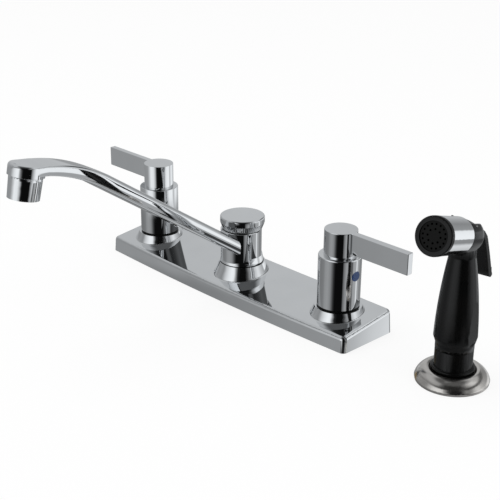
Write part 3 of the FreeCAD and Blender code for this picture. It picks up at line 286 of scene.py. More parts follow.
def bake(piece: bpy.types.Object) -> None:
    """Turn a piece's modifiers into plain mesh.

    Args:
        piece: the piece to bake
    """
    graph = bpy.context.evaluated_depsgraph_get()
    baked = bpy.data.meshes.new_from_object(piece.evaluated_get(graph), preserve_all_data_layers=True,
                                            depsgraph=graph)
    piece.modifiers.clear()
    old = piece.data
    baked.name = old.name
    piece.data = baked
    bpy.data.meshes.remove(old)


def merge(mesh: bpy.types.Mesh) -> None:
    """Join a mesh's touching corners and turn its faces outward.

    Args:
        mesh: the mesh to join
    """
    joined = bmesh.new()
    joined.from_mesh(mesh)
    bmesh.ops.remove_doubles(joined, verts=joined.verts, dist=JOIN_GAP)
    bmesh.ops.dissolve_degenerate(joined, edges=joined.edges, dist=JOIN_GAP / 4)
    bmesh.ops.recalc_face_normals(joined, faces=joined.faces)
    joined.to_mesh(mesh)
    joined.free()


def skin(node: str, finish: Finish, angle: float = 32.0) -> bpy.types.Object:
    """Replace a node by a joined, smoothly shaded copy of itself.

    Args:
        node: the node to replace
        finish: the copy's finish
        angle: the crease angle, in degrees

    Returns:
        The copy.
    """
    mesh = frame["nodes"][node].data.copy()
    mesh.name = f"{node}_skin"
    joined = bmesh.new()
    joined.from_mesh(mesh)
    bmesh.ops.remove_doubles(joined, verts=joined.verts, dist=JOIN_GAP)
    joined.to_mesh(mesh)
    joined.free()
    piece = add_object(f"{node}_skin", mesh)
    smooth(piece, angle)
    give(piece, finish)
    settle(piece, node)
    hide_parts(node)
    LOG.info("%s: %d faces", piece.name, len(piece.data.polygons))
    return piece


def ring_of_ridges(name: str, count: int, radii: tuple[float, float], heights: tuple[float, float], width: float,
                   finish: Finish) -> bpy.types.Object:
    """Stand equal ridges round an upright cone, with Geometry Nodes.

    Args:
        name: the piece's name
        count: how many ridges
        radii: the cone's radius at the foot and at the top, in millimetres
        heights: the foot's and the top's height, in millimetres
        width: how wide and deep each ridge is, in millimetres
        finish: the ridges' finish

    Returns:
        The ridges as one plain mesh.
    """
    tree = bpy.data.node_groups.new(f"{name}_ring", "GeometryNodeTree")
    for label, kind in (("Count", "NodeSocketInt"), ("Radius", "NodeSocketFloat"), ("Height", "NodeSocketFloat"),
                        ("Tilt", "NodeSocketFloat"), ("Ridge", "NodeSocketVector")):
        tree.interface.new_socket(label, in_out="INPUT", socket_type=kind)
    tree.interface.new_socket("Geometry", in_out="OUTPUT", socket_type="NodeSocketGeometry")
    given = add_node(tree, "NodeGroupInput").outputs
    circle = add_node(tree, "GeometryNodeMeshCircle", {"Vertices": given["Count"], "Radius": given["Radius"]})
    ridge = add_node(tree, "GeometryNodeMeshCube", {"Size": given["Ridge"]})
    tilt = add_node(tree, "ShaderNodeCombineXYZ", {"Y": given["Tilt"]})
    lean = add_node(tree, "GeometryNodeTransform", {"Geometry": ridge.outputs["Mesh"], "Rotation": tilt.outputs[0]})
    index = add_node(tree, "GeometryNodeInputIndex")
    share = add_node(tree, "ShaderNodeMath", {0: index.outputs[0], 1: given["Count"]}, operation="DIVIDE")
    turn = add_node(tree, "ShaderNodeMath", {0: share.outputs[0], 1: 2 * math.pi}, operation="MULTIPLY")
    spin = add_node(tree, "ShaderNodeCombineXYZ", {"Z": turn.outputs[0]})
    stand = add_node(tree, "GeometryNodeInstanceOnPoints", {
        "Points": circle.outputs["Mesh"], "Instance": lean.outputs["Geometry"], "Rotation": spin.outputs[0],
    })
    rise = add_node(tree, "ShaderNodeCombineXYZ", {"Z": given["Height"]})
    lift = add_node(tree, "GeometryNodeTransform", {
        "Geometry": stand.outputs["Instances"], "Translation": rise.outputs[0],
    })
    real = add_node(tree, "GeometryNodeRealizeInstances", {"Geometry": lift.outputs["Geometry"]})
    dress = add_node(tree, "GeometryNodeSetMaterial", {
        "Geometry": real.outputs["Geometry"], "Material": finish.material(),
    })
    add_node(tree, "NodeGroupOutput", {"Geometry": dress.outputs["Geometry"]})
    tall = math.hypot(heights[1] - heights[0], radii[1] - radii[0])
    values = {
        "Count": count,
        "Radius": (radii[0] + radii[1]) / 2 * MM,
        "Height": (heights[0] + heights[1]) / 2 * MM,
        "Tilt": math.atan2(radii[1] - radii[0], heights[1] - heights[0]),
        "Ridge": (width * MM, width * MM, tall * MM),
    }
    piece = add_object(name, bpy.data.meshes.new(name))
    ring = piece.modifiers.new("nodes", "NODES")
    ring.node_group = tree
    for item in tree.interface.items_tree:
        if item.in_out == "INPUT":
            ring[item.identifier] = values[item.name]
    bake(piece)
    give(piece, finish)
    LOG.info("%s: %d faces", name, len(piece.data.polygons))
    return piece


@dataclass
class Shell:
    """A mesh that is gathered part by part, in millimetres.

    Attributes:
        name: the piece's name
        points: its corners
        faces: its faces, as places in the points
    """

    name: str
    points: list[Vector] = field(default_factory=list)
    faces: list[tuple[int, ...]] = field(default_factory=list)

    def grid(self, rows: list[list[Vector]], closed: bool = False, capped: bool = False) -> None:
        """Add a sheet of quads through rows of points.

        Args:
            rows: rows of equally many points
            closed: whether each row closes on itself
            capped: whether the first and last rows are filled
        """
        start = len(self.points)
        wide = len(rows[0])
        for row in rows:
            self.points.extend(row)
        reach = wide if closed else wide - 1
        for line in range(len(rows) - 1):
            for step in range(reach):
                a = start + line * wide + step
                b = start + line * wide + (step + 1) % wide
                self.faces.append((a, b, b + wide, a + wide))
        if capped:
            self.faces.append(tuple(range(start, start + wide)))
            last = start + (len(rows) - 1) * wide
            self.faces.append(tuple(range(last, last + wide)))

    def lathe(self, profile: list[tuple[float, float]], turns: int = 128, centre: Vector = ORIGIN,
              tilt: Matrix | None = None) -> None:
        """Add a closed profile turned about an upright axis.

        Args:
            profile: (radius, height) pairs round the section
            turns: how many steps the circle has
            centre: where the axis stands
            tilt: a turn given to the whole piece about its centre
        """
        rows = []
        for radius, height in [*profile, profile[0]]:
            row = []
            for step in range(turns):
                angle = 2 * math.pi * step / turns
                point = Vector((radius * math.cos(angle), radius * math.sin(angle), height))
                row.append(centre + (tilt @ point if tilt else point))
            rows.append(row)
        self.grid(rows, closed=True)

    def piece(self, finish: Finish, angle: float) -> bpy.types.Object:
        """Make the gathered mesh an object.

        Args:
            finish: its finish
            angle: its crease angle, in degrees

        Returns:
            The object, not yet riding with any body.
        """
        mesh = bpy.data.meshes.new(self.name)
        mesh.from_pydata([point * MM for point in self.points], [], self.faces)
        merge(mesh)
        piece = add_object(self.name, mesh)
        smooth(piece, angle)
        give(piece, finish)
        LOG.info("%s: %d faces", self.name, len(piece.data.polygons))
        return piece


@dataclass
class DeckSet:
    """The deck plate, and every hidden or plain node with the finish it is given.

    Attributes:
        crease: the plate's crease angle, in degrees
        plain: finishes and the nodes that have them
    """

    crease: float = 24.0
    plain: tuple[tuple[Finish, tuple[str, ...]], ...] = (
        (BRASS, ("spout_post", "spray_nipple", "inlet_adapter", "lock_nuts", "valve_plunger", "valve_body_hot",
                 "valve_body_cold", "bonnet_nut_hot", "bonnet_nut_cold", "stem_hot", "stem_cold")),
        (STEEL, ("shank_washers", "flow_screen", "holder_washer", "trigger_pin", "set_screw_hot",
                 "set_screw_cold")),
        (RUBBER, ("base_gasket", "spout_o_rings", "aerator_washer", "valve_seal", "seat_seal_hot",
                  "seat_seal_cold")),
        # The matt black of glide_ring_hot and glide_ring_cold is partly a real ring and partly painted shade for
        # the dark gap under each handle's skirt.
        (MATT_BLACK, ("base_plate", "spout_glide_ring", "cap_washer", "glide_ring_hot", "glide_ring_cold")),
        (WHITE_PLASTIC, ("diverter_cage", "diverter_poppet", "aerator_insert", "holder_nut",
                         "cartridge_housing_hot", "cartridge_housing_cold")),
        (CERAMIC, ("fixed_disc_hot", "fixed_disc_cold", "upper_disc_hot", "upper_disc_cold")),
        (COPPER, ("cross_tube_hot", "cross_tube_cold")),
    )

    def dress(self) -> None:
        """Give every hidden or plain node its finish."""
        for finish, nodes in self.plain:
            for node in nodes:
                skin(node, finish)

    def build(self) -> None:
        """Build the visible plate."""
        skin("deck_shell", CHROME, self.crease)


@dataclass(frozen=True)
class Station:
    """One section across the spout.

    Attributes:
        origin: the point the section is measured from
        lean: how steeply the spout rises there, in degrees
        across: half width at the outline
        ahead: how far the outline lies in front of the origin
        facing: direction of the outline's normal, 0 sideways and 90 forward, in degrees
        top: height of the top above the origin
        bottom: height of the underside above the origin
        top_round: rounding of the upper edge
        foot_round: rounding of the lower edge
        swell: how far the side swells in the middle
    """

    origin: Vector
    lean: float
    across: float
    ahead: float
    facing: float
    top: float
    bottom: float
    top_round: float
    foot_round: float
    swell: float = 0.0

    def column(self, steps: int, lanes: int, crown: float) -> list[Vector]:
        """Return the points from the middle of the top round to the middle of the underside.

        Args:
            steps: steps in each rounding
            lanes: steps from the middle to a rounding, and half the steps down the side
            crown: how far the top swells in the middle

        Returns:
            The points of the right-hand half.
        """
        lean, facing = math.radians(self.lean), math.radians(self.facing)
        forward = Vector((0.0, -math.cos(lean), math.sin(lean)))
        upward = Vector((0.0, math.sin(lean), math.cos(lean)))

        def point(inset: float, share: float, height: float) -> Vector:
            """Place a point of the section.

            Args:
                inset: how far it is drawn in from the outline
                share: how far it is out from the middle, as a share
                height: how high it is above the origin

            Returns:
                The point.
            """
            wide = (self.across - inset * math.cos(facing)) * share
            reach = self.ahead - inset * math.sin(facing)
            return self.origin + Vector((wide, 0.0, 0.0)) + forward * reach + upward * height

        points = []
        for lane in range(lanes):
            share = lane / lanes
            points.append(point(self.top_round, share, self.top + crown * (1 - share**2)))
        for step in range(steps + 1):
            bend = math.radians(90 * (1 - step / steps))
            fall = self.top_round * (1 - math.sin(bend))
            points.append(point(self.top_round * (1 - math.cos(bend)), 1.0, self.top - fall))
        high, low = self.top - self.top_round, self.bottom + self.foot_round
        for step in range(1, lanes * 2):
            share = step / (lanes * 2)
            points.append(point(-self.swell * 4 * share * (1 - share), 1.0, high + (low - high) * share))
        for step in range(steps + 1):
            bend = math.radians(90 * step / steps)
            rise = self.foot_round * (1 - math.sin(bend))
            points.append(point(self.foot_round * (1 - math.cos(bend)), 1.0, self.bottom + rise))
        for lane in range(lanes - 1, -1, -1):
            points.append(point(self.foot_round, lane / lanes, self.bottom))
        return points


@dataclass
class SpoutSet:
    """The swinging spout, its cap and its aerator, in millimetres.

    Attributes:
        crease: crease angle, in degrees
        rise: slope of the straight arm, in degrees
        root: (forward, height) where the arm starts inside the sleeve
        bend: how far forward the bend starts
        radius: radius of the bend
        slack: slope at the end of the bend, in degrees
        talls: height of the arm at the root, the bend and the head
        half: half width of the arm
        seam: (forward, height) of the seam's middle
        lean: how far the head leans, in degrees
        head: radius of the head
        cover: height of the head above the seam
        corner: rounding of the arm's root as a share of its height
        crisp: rounding of the arm at the head as a share of its height
        swell: how far the arm's sides swell in the middle
        spread: how far forward the arm starts to widen toward the head
        feet: rounding of the lower edge as a share of the height, at the root and at the head
        crown: how far the top swells in the middle
        neck: how far behind the seam's middle the head takes over from the arm
        brow: how far in front of the seam's middle the top has come down to the cover's height
        crest: height of the top above the seam at the neck
        belly: height of the underside above the seam at the neck, and its fall per millimetre forward
        lip: rounding of the head's lower edge
        rim: rounding of the head's upper edge at its sides, and what is added at its front
        collar: (inner radius, height, stand out) of the collar over the seam
        forth: how far forward of the post the flared foot and the sleeve are centred
        teeth: (count, width) of the cap's teeth
    """

    crease: float = 30.0
    rise: float = 33.66
    root: tuple[float, float] = (5.0, 34.8)
    bend: float = 136.1
    radius: float = 115.4
    slack: float = 10.0
    talls: tuple[float, float, float] = (10.6, 10.2, 6.63)
    half: float = 11.5
    seam: tuple[float, float] = (191.0, 136.6)
    lean: float = 12.04
    head: float = 12.2
    cover: float = 7.7
    corner: float = 0.3
    crisp: float = 0.16
    swell: float = 0.11
    spread: float = 118.0
    feet: tuple[float, float] = (0.24, 0.1)
    crown: float = 0.12
    neck: float = 10.1
    brow: float = 2.0
    crest: float = 8.64
    belly: tuple[float, float] = (2.0, 0.036)
    lip: float = 0.3
    rim: tuple[float, float] = (1.1, 2.1)
    collar: tuple[float, float, float] = (9.8, 2.7, 0.03)
    forth: tuple[float, float] = (0.6, 1.3)
    teeth: tuple[int, float] = (72, 0.7)

    def _arm(self) -> list[Station]:
        """Return the sections of the straight arm and its bend.

        Returns:
            The sections, from the root forward.
        """
        stations = []
        slope = math.tan(math.radians(self.rise))
        for step in range(12):
            share = step / 12
            forward = self.root[0] + (self.bend - self.root[0]) * share
            height = self.root[1] + (forward - self.root[0]) * slope
            stations.append(self._section(forward, height, self.rise, self.talls[0], self.talls[1], share))
        start = self.root[1] + (self.bend - self.root[0]) * slope
        for step in range(29):
            share = step / 28
            lean = self.rise + (self.slack - self.rise) * share
            forward = self.bend + self.radius * (math.sin(math.radians(self.rise)) - math.sin(math.radians(lean)))
            height = start + self.radius * (math.cos(math.radians(lean)) - math.cos(math.radians(self.rise)))
            stations.append(self._section(forward, height, lean, self.talls[1], self.talls[2], share))
        return stations

    def _section(self, forward: float, height: float, lean: float, first: float, last: float,
                 share: float) -> Station:
        """Return one section of the arm.

        Args:
            forward: how far in front of the post it is
            height: how high its middle is
            lean: its slope, in degrees
            first: arm height at the start of its stretch
            last: arm height at the end of its stretch
            share: how far along the stretch it is

        Returns:
            The section.
        """
        tall = first + (last - first) * share
        near = max(0.0, (forward - self.spread) / (self.seam[0] - self.neck - self.spread))
        edge = tall * (self.corner - (self.corner - self.crisp) * near)
        foot = tall * (self.feet[0] - (self.feet[0] - self.feet[1]) * near)
        wide = self.half + (self.head - self.half) * near / 2
        return Station(Vector((0, -forward, height)), lean, wide - self.swell, 0, 0, tall / 2, -tall / 2, edge,
                       foot, self.swell)

    def _nose(self) -> list[Station]:
        """Return the sections over the head, round to its front.

        Returns:
            The sections, from the neck forward.
        """
        origin = Vector((0, -self.seam[0], self.seam[1]))
        stations = []
        for step in range(1, 13):
            share = step / 12
            ahead = -self.neck * (1 - share)
            wide = self.half + (self.head - self.half) * (0.5 + share / 2)
            swell = self.swell * (1 - share)
            sole = self.belly[0] - self.belly[1] * (ahead + self.neck)
            foot = self.feet[1] * self.talls[2] * (1 - share) + self.lip * share
            stations.append(Station(origin, self.lean, wide - swell, ahead, 0, self._top(ahead), sole, self.rim[0],
                                    foot, swell))
        last = stations[-1]
        for step in range(1, 25):
            share = step / 24
            facing = 90 * share
            ahead = self.head * math.sin(math.radians(facing))
            across = self.head * math.cos(math.radians(facing))
            edge = self.rim[0] + self.rim[1] * share**1.5
            stations.append(Station(origin, self.lean, across, ahead, facing, self._top(ahead), last.bottom, edge,
                                    last.foot_round))
        return stations

    def _top(self, ahead: float) -> float:
        """Return how high the head's top is above the seam, easing from the crest to the cover."""
        share = min((ahead + self.neck) / (self.brow + self.neck), 1.0)
        return self.crest + (self.cover - self.crest) * share * share * (3 - 2 * share)

    def spout(self) -> None:
        """Build the arm, the head, the sleeve and its flared foot."""
        shell = Shell("spout_skin")
        rows = []
        for station in self._arm() + self._nose():
            right = station.column(steps=6, lanes=4, crown=self.crown)
            left = [Vector((-point.x, point.y, point.z)) for point in reversed(right[1:-1])]
            rows.append(right + left)
        shell.grid(rows, closed=True, capped=True)
        tilt = Matrix.Rotation(-math.radians(self.lean), 3, "X")
        inner, height, proud = self.collar
        outer = self.head + proud
        shell.lathe([(inner, 0.0), (outer, 0.0), (outer, height), (inner, height)], tilt=tilt,
                    centre=Vector((0, -self.seam[0], self.seam[1])))
        flare = [(12.0, 24.5), (16.85, 24.5), (17.0, 24.65), (16.97, 25.4), (16.82, 26.2), (16.6, 27.2),
                 (16.4, 28.5), (16.25, 30.0), (15.4, 30.0), (12.0, 30.0)]
        shell.lathe(flare, centre=Vector((0, -self.forth[0], 0)))
        sleeve = [(13.4, 26.0), (16.05, 26.0), (16.05, 50.8), (15.75, 51.1), (13.4, 51.1)]
        shell.lathe(sleeve, centre=Vector((0, -self.forth[1], 0)))
        piece = shell.piece(CHROME, self.crease)
        settle(piece, "spout")
        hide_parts("spout")

    def cap(self) -> None:
        """Build the cap with its ring of fine teeth."""
        shell = Shell("spout_cap_skin")
        edge = [(17.4 - 1.2 * (1 - math.cos(math.radians(turn))), 60.3 + 1.2 * math.sin(math.radians(turn)))
                for turn in range(0, 91, 15)]
        body = [(12.0, 51.6), (15.3, 51.6), (16.1, 56.3), (17.2, 56.5), (17.4, 56.7), *edge, (12.0, 61.62),
                (8.0, 61.72), (4.0, 61.78), (0.01, 61.8), (0.01, 58.0), (12.0, 58.0)]
        shell.lathe(body)
        piece = shell.piece(CHROME, self.crease)
        count, width = self.teeth
        teeth = ring_of_ridges("cap_teeth", count, (15.2, 17.0), (51.65, 56.4), width, CHROME)
        for part in (piece, teeth):
            settle(part, "spout_cap")
        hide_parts("spout_cap")

    def build(self) -> None:
        """Build the spout, cap and aerator."""
        self.spout()
        self.cap()
        skin("aerator_housing", CHROME, self.crease)


@dataclass
class HandleSet:
    """One lever handle with its plug, in millimetres.

    Attributes:
        side: which handle it is
        plug: the plug's finish
        place: how far the handle stands from the middle
        turn: the lever's direction, in degrees
        skirt: radius of the skirt
        hub: radius of the hub
        foot: height of the skirt's foot
        shoulder: height of the skirt's top
        top: height of the hub's top
        bore: (radius, ceiling) of the hollow skirt
        socket: (radius, ceiling) of the stem's socket
        lever: (start, end, underside, half thickness) of the lever
        sunk: how far the lever's top lies below the hub's
        edge: rounding of the lever's edges
        crease: crease angle of the handle and of its plug, in degrees
    """

    side: str
    plug: Finish
    place: float
    turn: float
    skirt: float = 15.8
    hub: float = 12.1
    foot: float = 21.5
    shoulder: float = 60.0
    top: float = 79.3
    bore: tuple[float, float] = (14.1, 38.0)
    socket: tuple[float, float] = (4.0, 56.0)
    lever: tuple[float, float, float, float] = (9.0, 62.5, 63.4, 2.6)
    sunk: float = 0.03
    edge: float = 0.5
    crease: tuple[float, float] = (25.0, 30.0)

    def _rounded(self, inset: float) -> list[tuple[float, float]]:
        """Return the lever's section, drawn in by an inset.

        Args:
            inset: how far the section is drawn in

        Returns:
            The (across, height) points round it.
        """
        half = self.lever[3] - inset
        low, high = self.lever[2] + inset, self.top - self.sunk - inset
        radius = max(self.edge - inset, 0.02)
        corners = ((half, high, 0), (-half, high, 90), (-half, low, 180), (half, low, 270))
        points = []
        for across, height, start in corners:
            middle = (across - math.copysign(radius, across), height - math.copysign(radius, height - low - 1))
            for step in range(4):
                bend = math.radians(start + 30 * step)
                points.append((middle[0] + radius * math.cos(bend), middle[1] + radius * math.sin(bend)))
        return points

    def _blade(self, shell: Shell, turned: Matrix, centre: Vector) -> None:
        """Add the flat lever.

        Args:
            shell: the mesh it is added to
            turned: the lever's direction
            centre: the foot of the handle's axis
        """
        start, end = self.lever[:2]
        stations = [(start, 0.0), (self.hub, 0.0), (end - self.edge, 0.0)]
        for step in range(1, 5):
            bend = math.radians(22.5 * step)
            stations.append((end - self.edge * (1 - math.sin(bend)), self.edge * (1 - math.cos(bend))))
        rows = [[centre + turned @ Vector((reach, *point)) for point in self._rounded(inset)]
                for reach, inset in stations]
        shell.grid(rows, closed=True, capped=True)

    def build(self) -> None:
        """Build the handle and its coloured plug."""
        shell = Shell(f"handle_{self.side}_skin")
        centre = Vector((self.place, 0, 0))
        outline = [(self.bore[0], self.foot), (self.skirt - 0.2, self.foot), (self.skirt, self.foot + 0.2),
                   (self.skirt, self.shoulder - 0.8), (self.skirt - 0.25, self.shoulder - 0.25),
                   (self.skirt - 0.8, self.shoulder), (self.hub, self.shoulder), (self.hub, self.top - 0.4),
                   (self.hub - 0.12, self.top - 0.12), (self.hub - 0.4, self.top), (6.0, self.top),
                   (0.01, self.top), (0.01, self.socket[1]), self.socket, (self.socket[0], self.bore[1]), self.bore]
        shell.lathe(outline, centre=centre)
        self._blade(shell, Matrix.Rotation(math.radians(self.turn), 3, "Z"), centre)
        piece = shell.piece(CHROME, self.crease[0])
        settle(piece, f"handle_{self.side}")
        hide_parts(f"handle_{self.side}")
        skin(f"index_plug_{self.side}", self.plug, self.crease[1])


@dataclass
class SprayerSet:
    """The hand sprayer, its holder and flange.

    Attributes:
        crease: crease angle, in degrees
        spot: where the sprayer stands, in millimetres
        turn: how far it is turned, in degrees
        crown: radius of the trigger's crowned back at its nose and behind the head, in millimetres
        cuts: how many lanes the crown is built in
        deep: how far behind the middle the crown has its second radius, in millimetres
        outward: least share of a face's normal that makes it part of the back
        fade: height above the trigger's toe where the crown is whole, in millimetres
        tuck: (depth, start, length) of the drawn-in nose, in millimetres
        spring: (foot, length, stroke) of the valve spring, in millimetres; not used
    """

    crease: float = 34.0
    spot: tuple[float, float] = (204.5, 1.0)
    turn: float = 9.6
    crown: tuple[float, float] = (13.4, 24.0)
    cuts: int = 12
    deep: float = 20.0
    outward: float = 0.3
    fade: float = 6.0
    tuck: tuple[float, float, float] = (1.1, 2.0, 6.0)
    spring: tuple[float, float, float] = (75.0, 15.0, 0.95)

    def _trigger(self) -> None:
        """Build the trigger: its outer back crowned, so that it follows the round head."""
        turned = Matrix.Rotation(math.radians(self.turn), 3, "Z")
        across, rear, outward = (turned @ Vector(way) for way in ((1, 0, 0), (0, 1, 0), (0, 0.7, 0.7)))
        middle = Vector((*self.spot, 0)) * MM
        mesh = frame["nodes"]["trigger"].data.copy()
        mesh.name = "trigger_skin"
        form = bmesh.new()
        form.from_mesh(mesh)
        bmesh.ops.remove_doubles(form, verts=form.verts, dist=JOIN_GAP)
        half = max(abs((vert.co - middle).dot(across)) for vert in form.verts)
        toe = min(vert.co.z for vert in form.verts)
        for cut in range(1, self.cuts):
            place = middle + across * half * (2 * cut / self.cuts - 1)
            everything = [*form.verts, *form.edges, *form.faces]
            bmesh.ops.bisect_plane(form, geom=everything, plane_co=place, plane_no=across, dist=JOIN_GAP / 2)
        depth, begin, length = self.tuck
        shifts = []
        for vert in form.verts:
            backs = [face.normal for face in vert.link_faces
                     if face.normal.dot(outward) > self.outward and abs(face.normal.dot(across)) < self.outward]
            if backs:
                way = sum(backs, Vector()).normalized()
                aside = (vert.co - middle).dot(across) / MM
                behind = (vert.co - middle).dot(rear) / MM
                share = min(max(behind / self.deep, 0.0), 1.0)
                radius = self.crown[0] + (self.crown[1] - self.crown[0]) * share
                fall = radius - math.sqrt(radius**2 - aside**2)
                fall += depth * max(0.0, -behind - begin) / length
                shifts.append((vert, way * fall * min((vert.co.z - toe) / MM / self.fade, 1.0) * MM))
        for vert, shift in shifts:
            vert.co -= shift
        form.to_mesh(mesh)
        form.free()
        piece = add_object("trigger_skin", mesh)
        smooth(piece, self.crease)
        give(piece, GLOSS_BLACK)
        settle(piece, "trigger")
        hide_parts("trigger")
        LOG.info("%s: %d faces", piece.name, len(piece.data.polygons))

    def _spring(self) -> None:
        """Build the valve spring, on a mesh of its own."""
        piece = skin("valve_spring", STEEL)
        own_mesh(piece)

    def build(self) -> None:
        """Build the sprayer's visible pieces."""
        skin("sprayer_flange", NICKEL, self.crease)
        skin("sprayer_holder", GLOSS_BLACK, self.crease)
        skin("spray_body", GLOSS_BLACK, self.crease)
        skin("spray_band", CHROME, self.crease)
        skin("spray_face", MATT_BLACK, self.crease)
        skin("face_ring", GLOSS_BLACK, self.crease)
        self._trigger()
        self._spring()


@dataclass
class Camera:
    """The camera at the photograph's angle.

    Attributes:
        azimuth: degrees round from straight in front
        elevation: degrees above the horizon
        distance: metres from the target
        target: the point looked at
        roll: degrees that the picture leans
        focal: focal length over picture width
        sensor: picture width on the sensor, in millimetres
    """

    azimuth: float = 46.01
    elevation: float = 22.39
    distance: float = 0.86022
    target: tuple[float, float, float] = (0.00875, 0.0, 0.03452)
    roll: float = 0.57
    focal: float = 1104 / 500
    sensor: float = 36.0

    def back(self) -> Vector:
        """Return the direction from the target to the camera."""
        around, up = math.radians(self.azimuth), math.radians(self.elevation)
        return Vector((math.sin(around) * math.cos(up), -math.cos(around) * math.cos(up), math.sin(up)))

    def build(self) -> None:
        """Create the scene's camera."""
        data = bpy.data.cameras.new("camera")
        data.sensor_width = self.sensor
        data.lens = self.sensor * self.focal
        data.clip_start = 0.01
        camera = add_object("camera", data)
        back = self.back()
        level = Vector((math.cos(math.radians(self.azimuth)), math.sin(math.radians(self.azimuth)), 0.0))
        upright = back.cross(level)
        lean = math.radians(self.roll)
        right = level * math.cos(lean) + upright * math.sin(lean)
        top = upright * math.cos(lean) - level * math.sin(lean)
        turned = Matrix((right, top, back)).transposed()
        camera.matrix_world = Matrix.Translation(Vector(self.target) + back * self.distance) @ turned.to_4x4()
        bpy.context.scene.camera = camera


@dataclass
class Studio:
    """A white studio: what metal sees around it is a ring of pale and dark panels.

    Attributes:
        facing: degrees round to the dark panel, from straight in front
        bands: tones seen at each height, as (degrees from the dark panel, brightness)
        edges: the heights between which each band passes into the next
        roof: brightness of the ceiling
        fill: brightness of the soft light from all round
        cool: the tint of everything that metal sees
        white: brightness of the deck's matt white
        glow: how much of what the camera sees of the deck is plain white, not shaded
        half: half the deck's width, in metres
        drop: how far the deck lies below the faucet, in metres
        aim: the point the lamps look at
    """

    facing: float = 46.0
    bands: tuple[tuple[tuple[float, float], ...], ...] = (
        (
            (-180, 0.20), (-100, 0.20), (60, 0.30), (110, 0.60), (129, 0.75), (145, 0.55), (162, 0.22),
            (180, 0.20),
        ),
        (
            (-180, 0.25), (-128, 0.19), (-100, 0.22), (-93, 0.24), (-84, 0.31), (-67, 0.34), (-52, 0.27),
            (-42, 0.12), (-34, 0.03), (-26, 0.004), (13, 0.004), (17, 0.14), (24, 0.25), (36, 0.40),
            (43, 0.12), (49, 0.06), (60, 0.11), (67, 0.12), (72, 0.38), (91, 0.42), (94, 0.80),
            (100, 0.85), (104, 0.42), (113, 0.40), (126, 0.24), (150, 0.28), (180, 0.25),
        ),
        (
            (-180, 0.35), (-130, 0.30), (-99, 0.32), (-90, 0.34), (-75, 0.60), (-60, 0.95), (-38, 0.90),
            (-24, 0.50), (-14, 0.03), (-8, 0.004), (38, 0.004), (44, 0.25), (57, 0.66), (68, 0.95),
            (92, 0.98), (97, 0.55), (104, 0.60), (120, 1.00), (150, 0.60), (180, 0.35),
        ),
        (
            (-180, 0.55), (-137, 0.40), (-112, 0.33), (-92, 0.28), (-84, 0.42), (-76, 0.62), (-62, 0.85),
            (-47, 1.00), (-36, 0.95), (-28, 0.35), (-20, 0.02), (-8, 0.004), (16, 0.004), (24, 0.06),
            (31, 0.20), (36, 0.32), (47, 0.20), (55, 0.45), (62, 0.62), (76, 0.85), (84, 0.75), (92, 0.60),
            (114, 0.40), (142, 0.27), (160, 0.45), (180, 0.55),
        ),
        (
            (-180, 0.55), (-150, 0.50), (-110, 0.35), (-70, 0.20), (-58, 0.10), (-40, 0.02), (14, 0.006),
            (24, 0.08), (36, 0.08), (47, 0.02), (70, 0.04), (100, 0.10), (130, 0.08), (156, 0.09),
            (166, 0.50), (180, 0.55),
        ),
        (
            (-180, 0.55), (-140, 0.50), (-100, 0.50), (-62, 0.40), (-50, 0.14), (-36, 0.02), (-20, 0.008),
            (20, 0.008), (36, 0.06), (58, 0.40), (70, 0.75), (90, 0.85), (110, 0.60), (150, 0.55),
            (180, 0.55),
        ),
    )
    edges: tuple[tuple[float, float], ...] = (
        (-0.56, -0.45), (-0.352, -0.325), (-0.05, 0.01), (0.40, 0.47), (0.58, 0.66), (0.82, 0.93),
    )
    roof: float = 0.10
    fill: float = 0.78
    cool: tuple[float, float, float] = (0.975, 1.0, 1.02)
    white: float = 0.95
    glow: float = 0.86
    half: float = 6.0
    drop: float = 0.0002
    aim: tuple[float, float, float] = (0.03, -0.03, 0.05)

    def _ramp(self, tree: bpy.types.NodeTree, share: bpy.types.NodeSocket,
              tones: tuple[tuple[float, float], ...]) -> bpy.types.NodeSocket:
        """Make a colour ramp of tones round the horizon.

        Args:
            tree: the world's nodes
            share: how far round the horizon, as a share
            tones: (degrees from the dark panel, brightness) pairs

        Returns:
            The ramp's colour.
        """
        ramp = add_node(tree, "ShaderNodeValToRGB", {"Fac": share})
        elements = ramp.color_ramp.elements
        while len(elements) > 1:
            elements.remove(elements[-1])
        for index, (degrees, tone) in enumerate(tones):
            spot = (degrees + 180) / 360
            element = elements[0] if index == 0 else elements.new(spot)
            element.position = spot
            element.color = (*(tone * part for part in self.cool), 1.0)
        return ramp.outputs["Color"]

    def _blend(self, tree: bpy.types.NodeTree, height: bpy.types.NodeSocket, span: tuple[float, float],
               below: bpy.types.NodeSocket, above: object) -> bpy.types.NodeSocket:
        """Pass from one colour below to another above.

        Args:
            tree: the world's nodes
            height: how far up the direction points
            span: the heights that the change runs between
            below: the lower colour
            above: the upper colour, as a socket or a plain colour

        Returns:
            The mixed colour.
        """
        share = add_node(tree, "ShaderNodeMapRange", {
            "Value": height, "From Min": span[0], "From Max": span[1],
        }, interpolation_type="SMOOTHSTEP")
        return add_node(tree, "ShaderNodeMix", {
            "Factor": share.outputs["Result"], "A": below, "B": above,
        }, data_type="RGBA").outputs["Result"]

    def _mix(self, tree: bpy.types.NodeTree, share: bpy.types.NodeSocket, first: bpy.types.Node,
             second: bpy.types.Node) -> bpy.types.Node:
        """Mix two shaders, the share being the second one's."""
        return add_node(tree, "ShaderNodeMixShader", {"Fac": share, 1: first.outputs[0], 2: second.outputs[0]})

